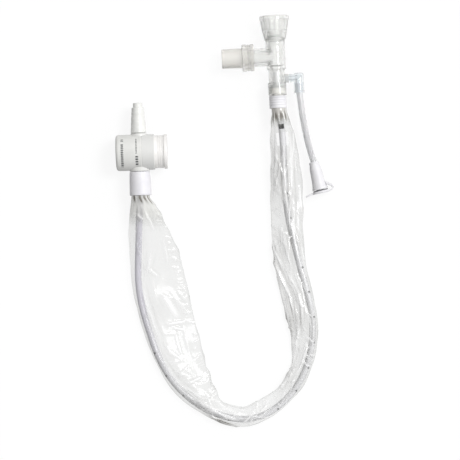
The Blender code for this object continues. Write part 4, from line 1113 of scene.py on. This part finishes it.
            # painted shade along the film's inner edge, and along its outer edge where it is drawn tight round the
            # tube
            outward, inward, *_ = self.row(share)
            rim = max(0.0, 1 - (u + outward) / 1.5) * held_in((share - 0.13) / 0.05)
            painted_shade += max(0.0, 1 - (inward - u) / 1.1) * (0.2 + 0.2 * sway) * (1 - neck)
            painted_shade += rim * (0.22 + 0.3 * noise.noise(Vector((along * 0.05, 1.0, 5.0)))) * (1 - neck)
            # painted shade of one deep fold under the outside of the bend
            painted_shade += peak(share, 0.418, 0.03) * held_in((-u - 2.2) / 1.2) * 0.8
        gathered = max(0.0, 1 - max(0.0, share - 0.05) / 0.03, 1 - max(0.0, 0.972 - share) / 0.018)
        layered = min(1.0, gathered + 0.2 * crowded * max(0.0, broad + 0.3) * (1 - bend)) - 0.09 * bend
        if self.band[0] < share < self.band[1] and abs(u) < 4.5:
            # film that clings to the tube goes clear over the black band
            white, painted_shade, layered = 0.0, 0.0, -0.4
        return lift, min(1.0, white), min(1.0, painted_shade), layered

    def build(self, route: Sequence[Vector]) -> None:
        """Loft the film along the catheter and crumple it.

        Args:
            route: closely spaced points of the catheter's middle, in metres.
        """
        form = bmesh.new()
        colour = form.verts.layers.float_color.new("crease")
        creases = self.creases(sum(spans(route)) / MM)
        travelled = [0.0, *accumulate(span / MM for span in spans(route))]
        rings = []
        for k, (point, along) in enumerate(zip(route, travelled)):
            share = k / (len(route) - 1)
            ahead = heading(route, k)
            ahead.z = 0.0
            ahead.normalize()
            side = Vector((-ahead.y, ahead.x, 0.0))
            outline = self.section(share)
            width = max(p[0] for p in outline) - min(p[0] for p in outline)
            # both ends are clamped under the collars
            held = held_in(min((share - self.clamped[0]) / 0.02, (self.clamped[1] - share) / 0.012))
            reached = [crease for crease in creases if abs(crease.along - along) < crease.span]
            ring = []
            for j, (u, z, c, s) in enumerate(outline):
                lift, white, painted_shade, layered = self.wrinkle(share, along, j / self.across * TURN, u, width,
                                                          1.0 if s > -0.2 else 0.0, reached)
                # the film can't sink into the tube, nor stand up too far or sag under itself
                by_tube = math.hypot(u, z - point.z / MM) < 5.5 or share > 0.93
                lift = min(max(lift, -0.3 if by_tube else -1.1), self.highest) * held
                if s < -0.55:
                    lift *= 0.25
                height = max(z + lift * s, self.lowest)
                vert = form.verts.new(Vector((point.x, point.y, 0.0)) + side * (u + lift * c) * MM
                                      + Vector((0.0, 0.0, height * MM)))
                # painted highlight, painted shade and layering go into the film's "crease" colours
                vert[colour] = (white * held, painted_shade, layered, 1.0)
                ring.append(vert)
            rings.append(ring)
        uv = form.loops.layers.uv.new("flat")
        for near, far, start, end in zip(rings, rings[1:], travelled, travelled[1:]):
            for j in range(self.across):
                n = (j + 1) % self.across
                face = form.faces.new((near[j], far[j], far[n], near[n]))
                for loop, (step, at) in zip(face.loops, ((j, start), (j, end), (j + 1, end), (j + 1, start))):
                    loop[uv].uv = (step / self.across * 2 * self.flat_width, at * MM)
        bmesh.ops.recalc_face_normals(form, faces=form.faces)
        mesh = mesh_of("film_sleeve", form)
        mesh.shade_smooth()
        sleeve = register("film_sleeve", mesh, ThinFilm("blown polyethylene film", "#B9BAB6", 0.14).build(),
                          "set", ("sleeve",))


# ---------------------------------------------------------------- thumb valve


@dataclass
class ThumbValve:
    """Thumb operated suction valve with its vacuum connector and the collar over the sleeve's end."""

    body_r: float = 14.2
    sleeved_r: float = 14.1
    left: float = -18.2
    step: float = 2.0
    right: float = 12.2
    corner: float = 2.4
    inner_r: float = 12.4
    spine_r: float = 7.2
    bore_r: float = 5.4
    vent_r: float = 0.8
    counterbore_r: float = 13.25
    counterbore_left: float = 4.4
    passage_r: float = 2.2
    socket_r: float = 3.3
    cross_r: float = 4.1
    boss_root: float = 11.0
    boss_end: float = 14.9
    top_boss_r: float = 6.4
    low_boss_r: float = 7.9
    skirt_r: float = 12.9
    skirt_bore_r: float = 11.2
    lip_r: float = 13.6
    button_left: float = 9.9
    button_right: float = 22.1
    travel: float = 5.2
    spring_ends: tuple[float, float] = (-13.7, -3.7)
    spring_coil_r: float = 2.6
    spring_wire_r: float = 0.3
    spring_turns: int = 6
    collar_r: tuple[float, float, float] = (7.5, 8.1, 8.6)
    collar_from: float = 15.2
    collar_to: float = 33.8

    def build(self) -> None:
        """Make every piece of the valve and dress the CAD pieces that stay."""
        self.shell()
        self.button()
        self.connector()
        self.collar()
        self.spring()
        for name, finish in (
                ("valve_plunger", MouldedPlastic("natural acetal plunger", "#DEDDD6", 0.36, shade="#D2D1C9")),
                ("lock_ring", MouldedPlastic("grey polypropylene ring", "#A9ACAD", 0.42, shade="#9DA0A1")),
                ("catheter_hub", MouldedPlastic("natural polypropylene hub", "#DADBDA", 0.36, shade="#CFD0CF")),
                *((name, Silicone("moulded silicone seal", "#DADCDB", 0.4))
                  for name in ("plunger_seal_inner", "plunger_seal_outer", "check_valve"))):
            dress_node(name, finish.build(VALVE))

    def shell(self) -> None:
        """Barrel with its two socket bosses, one hollow moulding."""
        left, step, right, room = self.left, self.step, self.right, self.counterbore_left
        corner = [(left + self.corner * (1 - math.sin(a)), self.body_r - self.corner * (1 - math.cos(a)))
                  for a in (math.pi / 2 * (1 - k / 6) for k in range(7))]
        wall, floor = left + 2.2, left + 4.2
        outline = [(left, self.vent_r), (left, 9.9), (left + 0.25, 10.1), (left + 0.25, 10.5), (left, 10.7), *corner,
                   (step - 0.3, self.body_r), (step, self.body_r - 0.35), (step + 0.35, self.body_r - 0.35),
                   (step + 0.5, self.sleeved_r), (right - 0.4, self.sleeved_r), (right, self.sleeved_r - 0.3),
                   (right, self.counterbore_r), (room, self.counterbore_r), (room, self.inner_r),
                   (wall, self.inner_r), (wall, self.spine_r), (right - 0.2, self.spine_r),
                   (right - 0.2, self.bore_r), (floor, self.bore_r), (floor, self.vent_r)]
        body = Solid.turned(outline, Axis.ALONG_X, steps=128)
        for sign, boss_r in ((1, self.top_boss_r), (-1, self.low_boss_r)):
            socket = [(5.65, self.passage_r), (5.65, self.cross_r), (self.boss_root, self.cross_r),
                      (self.boss_root, boss_r + 0.35), (12.6, boss_r + 0.25), (13.6, boss_r + 0.1),
                      (self.boss_end - 0.3, boss_r), (self.boss_end, boss_r - 0.3), (self.boss_end, self.socket_r),
                      (9.5, self.socket_r), (9.5, self.passage_r)]
            body.shaped(Solid.turned([(sign * y, r) for y, r in socket]), Fit.UNITE)
        hollow = [(room + 0.05, self.spine_r + 0.05), (room + 0.05, 13.2), (right - 1, 13.2),
                  (right - 1, self.spine_r + 0.05)]
        body.shaped(Solid.turned(hollow, Axis.ALONG_X), Fit.CUT)
        for start, end, radius in ((-8.5, 8.5, 2.15), (10.5, 15.9, 3.25), (-15.9, -10.5, 3.25)):
            body.shaped(Solid.drill(start, end, radius), Fit.CUT)
        finish = PrintedShell("spark eroded white polypropylene", "#E6E6E3", 0.42, shade="#DDDDDA", depth=0.02)
        body.piece("valve_shell", VALVE, finish, "set", ("valve_body",), "white_shell")

    def button(self) -> None:
        """Thumb button: a cup with grip ridges around its skirt and a dished face."""
        left, right, skirt, lip = self.button_left, self.button_right, self.skirt_r, self.lip_r
        face = [(right - 0.5, lip), (right - 0.15, lip - 0.12), (right, lip - 0.5)]
        face += [(right - 1.0 * (1 - (r / 12.3) ** 2), r) for r in (12.3, 11.2, 10.0, 8.6, 7.0, 5.3, 3.4, 1.7, 0.0)]
        ridges = []
        for x in (14.4 + 1.6 * k for k in range(3)):
            ridges += [(x - 0.1, skirt), (x + 0.12, skirt - 0.1), (x + 0.4, skirt - 0.1), (x + 0.62, skirt)]
        outline = [(left, self.skirt_bore_r), (left, skirt - 0.2), (left + 0.2, skirt), *ridges, (19.3, skirt),
                   (19.5, skirt + 0.1), (19.8, lip), *face, (20.2, 0.0), (20.2, 2.9), (17.7, 2.9), (17.7, 6.5),
                   (19.6, 6.5), (19.6, self.skirt_bore_r)]
        cup = Solid.turned(outline, Axis.ALONG_X, steps=128)
        for low, high in ((9.2, 12.35), (-12.35, -9.2)):
            cup.shaped(Solid.block((left - 1, -2.4, low), (17.8, 2.4, high)), Fit.CUT)
        finish = MouldedPlastic("satin white ABS", "#F3F1EF", 0.34, shade="#ECEAE7", depth=0.01)
        cup.piece("thumb_button_cup", VALVE, finish, "thumb", ("thumb_button",), "white_button", 25)

    def connector(self) -> None:
        """Tapered vacuum connector with a stepped tip that the suction hose grips."""
        barbs = []
        for y in (20.5, 24.8, 29.1, 33.0):
            r = 6.2 - (y - 15.6) * 0.0689
            barbs += [(y - 0.9, r + 0.02), (y, r - 0.12), (y + 0.15, r - 0.12), (y + 1.0, r - 0.02)]
        outline = [(9.8, 1.9), (9.8, 3.0), (15.2, 3.0), (15.2, 5.8), (15.6, 6.2), *barbs, (34.8, 4.9), (35.15, 4.75),
                   (35.3, 4.4), (35.3, 3.85), (35.5, 3.75), (38.3, 3.65), (38.7, 3.5), (38.9, 3.2), (38.9, 2.45),
                   (38.7, 2.3), (15.2, 2.2)]
        finish = MouldedPlastic("natural white polyethylene", "#EBEBE8", 0.38, shade="#DFE0DD", depth=0.014)
        Solid.turned(outline, steps=112).piece(
            "hose_connector", VALVE, finish, "set", ("vacuum_connector",), "white_connector", 40)

    def collar(self) -> None:
        """Cuff over the sleeve's end, slightly bulged where the film is folded under it."""
        bore, top, end = self.collar_r
        start, stop = -self.collar_from, -self.collar_to
        bulge = [(start + (stop - start) * t, top + (end - top) * t + 0.12 * math.sin(math.pi * t) ** 2)
                 for t in (0.08, 0.2, 0.35, 0.5, 0.65, 0.8, 0.92)]
        outline = [(start, bore), (start, top - 0.35), (start - 0.15, top - 0.1), (start - 0.5, top), *bulge,
                   (stop + 0.5, end), (stop + 0.12, end - 0.15), (stop, end - 0.5), (stop, bore)]
        finish = MouldedPlastic("lilac white vinyl cuff", "#ECEBEE", 0.45, shade="#E4E3E8", grain=0.6, depth=0.02)
        Solid.turned(outline, steps=112).piece(
            "sleeve_cuff", VALVE, finish, "set", ("proximal_collar",), "pale_lilac_collar", 45)

    def spring(self) -> None:
        """Return spring: a drawn steel coil at its rest length; the real one shortens as the plunger is pressed in.
        """
        steps, around = 36, 12
        start, end = self.spring_ends[0] + self.spring_wire_r, self.spring_ends[1] - self.spring_wire_r
        form = bmesh.new()
        rings = []
        for k in range(self.spring_turns * steps + 1):
            angle = TURN * k / steps
            x = start + (end - start) * k / (self.spring_turns * steps)
            ring = []
            for turned in (TURN * j / around for j in range(around)):
                r = self.spring_coil_r + self.spring_wire_r * math.cos(turned)
                ring.append(form.verts.new((x + self.spring_wire_r * math.sin(turned), r * math.cos(angle),
                                            r * math.sin(angle))))
            rings.append(ring)
        for near, far in zip(rings, rings[1:]):
            for j in range(around):
                n = (j + 1) % around
                form.faces.new((near[j], near[n], far[n], far[j]))
        form.faces.new(rings[0])
        form.faces.new(rings[-1])
        bmesh.ops.recalc_face_normals(form, faces=form.faces)
        steel = SpringSteel("drawn stainless spring wire", "#B9B9BA", 0.3)
        coil = Solid(form).piece("spring_coil", VALVE, steel, "set", ("return_spring",), "spring_steel", 60)
        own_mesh(coil)


# ---------------------------------------------------------------- manifold


@dataclass
class Manifold:
    """Clear ventilator manifold with its two swivels, the wiper stack and the irrigation elbow."""

    core_r: float = 7.6
    core_top: float = 12.4
    core_low: float = -10.3
    stem_r: float = 6.3
    stem_low: float = -20.5
    cup_r: float = 7.25
    cup_low: float = -30.4
    cup_bore_r: float = 6.6
    cup_floor: float = -22.0
    airway_r: float = 4.4
    pass_r: float = 3.4
    spigot_r: float = 6.2
    spigot_end: float = 19.8
    arm_r: float = 7.1
    arm_end: float = -17.0
    arm_bore_r: float = 4.0
    arm_spigot_r: float = 5.6
    arm_spigot_end: float = -24.7
    side_y: float = -17.4
    side_r: float = 3.6
    side_end: float = 9.5
    side_bore_r: float = 1.3
    side_socket_r: float = 2.5

    def build(self) -> None:
        """Make every piece of the manifold."""
        self.body()
        self.circuit_port()
        self.patient_port()
        self.seals()
        self.guide()
        self.elbow()

    @staticmethod
    def groove(start: float, width: float, floor: float, radius: float) -> Outline:
        """Square seal groove in a spigot's outline."""
        return [(start, radius), (start, floor), (start + width, floor), (start + width, radius)]

    def body(self) -> None:
        """Stem, arm and side socket as one hollow moulding."""
        rings = []
        for y in (-28.9, -27.0, -25.0):
            rings += [(y - 0.35, self.cup_r), (y - 0.2, self.cup_r - 0.22), (y + 0.2, self.cup_r - 0.22),
                      (y + 0.35, self.cup_r)]
        outline = [(self.cup_low, self.cup_bore_r), (self.cup_low, self.cup_r - 0.2),
                   (self.cup_low + 0.2, self.cup_r), *rings, (self.stem_low - 0.9, self.cup_r),
                   (self.stem_low - 0.35, self.cup_r - 0.3),
                   (self.stem_low, self.stem_r), (self.core_low - 0.4, self.stem_r),
                   (self.core_low + 0.2, self.core_r - 0.5), (self.core_low + 0.9, self.core_r),
                   (self.core_top - 0.3, self.core_r), (self.core_top, self.core_r - 0.3),
                   (self.core_top, self.spigot_r), *self.groove(15.0, 1.6, 5.3, self.spigot_r),
                   (self.spigot_end - 0.3, self.spigot_r), (self.spigot_end, self.spigot_r - 0.3),
                   (self.spigot_end, self.airway_r), (-7.0, self.airway_r), (-8.0, self.pass_r),
                   (self.cup_floor, self.pass_r), (self.cup_floor, self.cup_bore_r)]
        arm = [(self.arm_spigot_end, self.arm_bore_r), (self.arm_spigot_end, self.arm_spigot_r - 0.25),
               (self.arm_spigot_end + 0.25, self.arm_spigot_r), *self.groove(-21.6, 1.6, 4.8, self.arm_spigot_r),
               (self.arm_end, self.arm_spigot_r), (self.arm_end, self.arm_r - 0.25),
               (self.arm_end + 0.25, self.arm_r), (-2.5, self.arm_r), (-2.5, self.arm_bore_r)]
        side = [(4.6, self.side_bore_r), (4.6, self.side_r), (self.side_end - 0.25, self.side_r),
                (self.side_end, self.side_r - 0.25), (self.side_end, self.side_socket_r), (6.0, self.side_socket_r),
                (6.0, self.side_bore_r)]
        beside = (0, self.side_y, 0)
        stem = Solid.turned(outline)
        stem.shaped(Solid.turned(arm, Axis.ALONG_X), Fit.UNITE)
        stem.shaped(Solid.turned(side, Axis.ALONG_X, 64, beside), Fit.UNITE)
        stem.shaped(Solid.drill(-6.5, 7.6, 4.35), Fit.CUT)
        stem.shaped(Solid.drill(-17.0, 0, 3.95, Axis.ALONG_X), Fit.CUT)
        stem.shaped(Solid.drill(1.0, 5.5, 1.25, Axis.ALONG_X, at=beside), Fit.CUT)
        wavy = ClearPlastic("wavy clear polycarbonate", "#FDFDFC", 0.07, haze=0.2, milk="#EDEDEB", depth=0.42,
                            ripple=4.2)
        stem.piece("manifold_tee", MANIFOLD, wavy, "set", ("manifold_body",), "clear_polycarbonate", 28)

    def circuit_port(self) -> None:
        """Swivelling circuit port: 22 mm outside taper, 15 mm socket with short ribs inside."""
        bore, low, step, top, rim = 6.5, 12.7, 20.5, 32.0, 11.65
        outline = [(low, bore), (low, 7.9), (low + 0.25, 8.1), (low + 1.8, 8.55), (low + 4.0, 9.05),
                   (step - 1.2, 9.65), (step + 1.5, 10.2), (step + 4.5, 10.7), (top - 3.2, 11.15), (top - 2.9, rim),
                   (top - 0.5, rim), (top - 0.12, rim - 0.2), (top, rim - 0.5), (top, 7.95), (top - 0.25, 7.7),
                   (21.3, 7.5), (21.3, 5.2), (20.1, 5.2), (20.1, bore)]
        port = Solid.turned(outline, steps=112)
        for k in range(12):
            rib = Solid.block((6.9, 21.2, -0.3), (7.7, 29.5, 0.3), 0.15)
            bmesh.ops.rotate(rib.form, verts=rib.form.verts, cent=(0, 0, 0),
                             matrix=Matrix.Rotation(TURN * k / 12, 3, "Y"))
            port.with_part(rib)
        clear = ClearPlastic("clear polycarbonate", "#FDFDFC", 0.07, haze=0.22, milk="#F3F3F1", depth=0.16,
                             ripple=1.7)
        port.piece("circuit_port_swivel", MANIFOLD, clear, "circuit_port", ("circuit_swivel",),
                   "clear_polycarbonate", 28)

    def patient_port(self) -> None:
        """Swivelling patient port: ribbed ring and a 15 mm taper."""
        start, ring, rib, bore = -17.3, 10.65, 10.15, 5.9
        outline = [(start, bore), (start, ring - 0.4), (start - 0.3, ring), (start - 2.7, ring), (start - 3.2, rib),
                   (start - 3.9, rib), (start - 4.15, ring - 0.1), (start - 4.7, ring - 0.1), (start - 4.95, rib),
                   (start - 5.6, rib), (start - 6.1, ring), (-26.1, ring), (-26.5, ring - 0.4), (-26.5, 8.3),
                   (-26.9, 7.75), (-42.1, 7.55), (-42.5, 7.3), (-42.6, 7.0), (-42.6, bore + 0.15), (-42.45, bore)]
        frosted = ClearPlastic("frosted polycarbonate", "#FAF9F7", 0.16, haze=0.6, milk="#F4F2EE", depth=0.02,
                               ripple=1.2, polished=(-26.6, 0.22))
        Solid.turned(outline, Axis.ALONG_X, 112).piece(
            "patient_port_swivel", MANIFOLD, frosted, "patient_port", ("patient_swivel",),
            "frosted_polycarbonate", 30)

    def seals(self) -> None:
        """Two O-rings in their grooves and the wiper disc around the catheter."""
        silicone = Silicone("clear silicone seal", "#DDDFDE", 0.32)
        for name, node_name, along, inner, outer, axis in (
                ("circuit_o_ring", "circuit_seal", 15.8, 5.3, 6.5, Axis.ALONG_Y),
                ("patient_o_ring", "patient_seal", -20.8, 4.8, 5.9, Axis.ALONG_X)):
            section, middle = (outer - inner) / 2 - 0.06, (outer + inner) / 2
            outline = [(along + section * math.cos(a), middle + section * math.sin(a))
                       for a in (TURN * k / 20 for k in range(20))]
            Solid.turned(outline, axis).piece(name, MANIFOLD, silicone, "set", (node_name,), "clear_silicone", 60)
        disc = [(-22.4, 3.7), (-22.4, 6.1), (-22.6, 6.3), (-24.2, 6.3), (-24.4, 6.1), (-24.4, 3.3), (-24.2, 3.0),
                (-23.6, 2.8), (-23.3, 2.9)]
        Solid.turned(disc).piece("wiper_disc", MANIFOLD, silicone, "set", ("wiper_seal",), "clear_silicone", 50)

    def guide(self) -> None:
        """Guide bushing that centres the catheter, and the ribbed collar that clamps the film on it."""
        cone = [(-24.9, 3.25), (-24.9, 6.1), (-25.1, 6.3), (-29.3, 6.3), (-29.5, 6.1), (-29.5, 4.3), (-31.4, 4.3),
                (-31.6, 5.35), (-41.3, 5.35), (-41.8, 5.2), (-48.2, 3.75), (-48.45, 3.55), (-48.5, 3.3),
                (-48.4, 3.12)]
        # the bushing's cone is turned pale brown by painted shade
        bushing = GuideNylon("natural nylon, cone in painted shade", "#EAE8E4", 0.34, shade="#DEDAD4", cloud=2.4)
        Solid.turned(cone).piece(
            "guide_cone", MANIFOLD, bushing, "set", ("guide_bushing",), "pale_brown_bushing", 40)
        top, end, radius, bore = -31.0, -40.7, 6.8, 6.3
        ribs = []
        for y in (top - 1.94 * (k + 1) for k in range(4)):
            ribs += [(y + 0.45, radius), (y + 0.2, radius - 0.2), (y - 0.2, radius - 0.2), (y - 0.45, radius)]
        outline = [(top, bore), (top, radius - 0.15), (top - 0.15, radius), *ribs, (end + 0.15, radius),
                   (end, radius - 0.15), (end, bore)]
        cuff = MouldedPlastic("lilac white ribbed cuff", "#EEEDEF", 0.43, shade="#E4E3E7", grain=0.5)
        Solid.turned(outline, steps=112).piece(
            "ribbed_cuff", MANIFOLD, cuff, "set", ("distal_collar",), "pale_lilac_collar", 40)

    def elbow(self) -> None:
        """Blue tinted elbow that carries the irrigation line off the side socket."""
        room, drop_r, low, top, bore, side = 2.8, 3.8, -29.2, -13.6, 1.7, self.side_y
        drop = [(low, room), (low, drop_r + 0.1), (low + 0.3, drop_r + 0.35), (low + 1.4, drop_r + 0.35),
                (low + 1.7, drop_r), (top - 1.1, drop_r), (top - 0.5, drop_r - 0.3), (top - 0.12, drop_r - 0.9),
                (top, drop_r - 1.7), (top, 0), (side + 1.9, 0), (side + 1.9, bore), (side - 4.0, bore),
                (side - 4.0, room)]
        run = [(6.3, 0), (6.3, 2.2), (9.8, 2.2), (9.8, 3.15), (10.1, 3.35), (11.1, 3.35), (11.4, 2.95), (15.15, 2.95),
               (15.15, 0)]
        elbow = Solid.turned(drop, steps=72, at=(17.3, 0, 0))
        elbow.shaped(Solid.turned(run, Axis.ALONG_X, 72, (0, side, 0)), Fit.UNITE)
        elbow.shaped(Solid.drill(4.0, 17.3, 1.3, Axis.ALONG_X, 48, (0, side, 0)), Fit.CUT)
        tinted = ClearPlastic("blue tinted polycarbonate", "#F4F8FA", 0.05, haze=0.2, milk="#F0F3F5", depth=0.02)
        elbow.piece("tinted_elbow", MANIFOLD, tinted, "set", ("irrigation_elbow",), "blue_tinted_clear", 30)


# ---------------------------------------------------------------- irrigation port


@dataclass
class IrrigationPort:
    """Bell shaped irrigation port with its hinged cap, in soft white polyethylene."""

    cap_face: float = -23.6
    cap_thick: float = 1.6
    cap_r: float = 7.6
    hinge: tuple[float, float] = (10.6, -22.6)
    strap: float = 3.0
    finish: Finish = MouldedPlastic("soft white polyethylene", "#EAE9EB", 0.4, shade="#DEDDE1", depth=0.016)

    def build(self) -> None:
        """Make the bell, the cap and the living hinge."""
        self.bell()
        self.cap()
        self.living_hinge()

    def bell(self) -> None:
        """Flared bell with a socket for the line and a lug for the cap."""
        outline = [(0, 2.8), (0, 3.3), (-0.12, 3.6), (-0.4, 3.8), (-2.6, 3.9), (-3.6, 4.1), (-4.6, 4.5),
                   (-7.0, 4.66), (-10.5, 4.86), (-14.5, 5.1), (-17.2, 5.35), (-19.4, 5.7), (-20.6, 5.95),
                   (-22.0, 6.2), (-22.25, 6.1), (-22.3, 5.9), (-22.3, 4.5), (-22.1, 4.3), (-16.2, 3.5), (-16.2, 3.4),
                   (-10.0, 3.4), (-10.0, 1.6), (-9.0, 1.6), (-9.0, 2.8)]
        bell = Solid.turned(outline)
        x, y = self.hinge
        lug = [(4.9, -16.9), (6.2, -16.9), (x - 0.7, y + 2.35), (x, y + 1.25), (x, y + 0.35), (x - 1.3, y + 0.35),
               (x - 1.6, y + 1.25), (5.2, -18.9)]
        bell.shaped(Solid.plate(lug, self.strap, 0.2), Fit.UNITE)
        bell.piece("irrigation_bell", PORT, self.finish, "set", ("irrigation_hub",), "white_port", 35)

    def cap(self) -> None:
        """Disc cap with its plug, thumb tab and hinge arm."""
        face, back, r = self.cap_face, self.cap_face - self.cap_thick, self.cap_r
        outline = [(back + 0.25, 0), (back + 0.25, r - 1.6), (back, r - 1.2), (back, r - 0.35),
                   (back + 0.12, r - 0.1), (back + 0.4, r), (face - 0.4, r), (face - 0.1, r - 0.1),
                   (face, r - 0.4), (face, 6.05),
                   (-22.85, 5.95), (-22.65, 5.7), (-22.65, 3.15), (-20.0, 2.95), (-17.6, 2.4), (-17.3, 2.2),
                   (-17.2, 1.9), (-17.2, 0)]
        disc = Solid.turned(outline)
        reach = 12.2
        drop = (reach - r) * math.tan(math.radians(5.3)) * 2
        tab = [(-r + 1.6, face - 0.1), (-reach + 0.4, face - 0.1 - drop), (-reach, face - 0.3 - drop),
               (-reach, back + 0.3 - drop), (-reach + 0.4, back + 0.1 - drop), (-r + 1.6, back + 0.1)]
        x, y = self.hinge
        arm = [(r - 1.4, face - 0.15), (r + 0.4, face - 0.15), (x - 1.3, y - 0.35), (x, y - 0.35), (x, face),
               (r + 1.0, back + 0.1), (r - 1.4, back + 0.1)]
        disc.shaped(Solid.plate(tab, 3.5, 0.3), Fit.UNITE)
        disc.shaped(Solid.plate(arm, self.strap, 0.15), Fit.UNITE)
        # the cap's finish paints the shade of the gap by the bell's mouth
        shaded_cap = CapWithPaintedShade("soft white polyethylene cap", "#EAE9EB", 0.4, shade="#DEDDE1", depth=0.016)
        disc.piece("irrigation_cap_disc", PORT, shaded_cap, "port_cap", ("irrigation_cap",), "white_port", 35)

    def living_hinge(self) -> None:
        """Thin moulded web between lug and cap, made straight; the real one bends when the cap is flipped."""
        x, y = self.hinge
        web = Solid.block((x - 0.3, y - 0.5, -self.strap + 0.3), (x - 0.02, y + 0.5, self.strap - 0.3))
        cuts = [e for e in web.form.edges if abs((e.verts[0].co - e.verts[1].co).y) > 0.5]
        bmesh.ops.subdivide_edges(web.form, edges=cuts, cuts=7, use_grid_fill=True)
        made = web.piece("living_hinge", PORT, self.finish, "", (), "white_port", 60)
        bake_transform(made)


def main() -> None:
    """Build the set piece by piece."""
    logging.basicConfig(level=logging.INFO, format="%(name)s: %(message)s")
    Studio().build()
    lines = Lines()
    lines.build()
    FilmSleeve().build(smooth_route(lines.catheter_route, 0.0008))
    ThumbValve().build()
    Manifold().build()
    IrrigationPort().build()


if __name__ == "__main__":
    main()
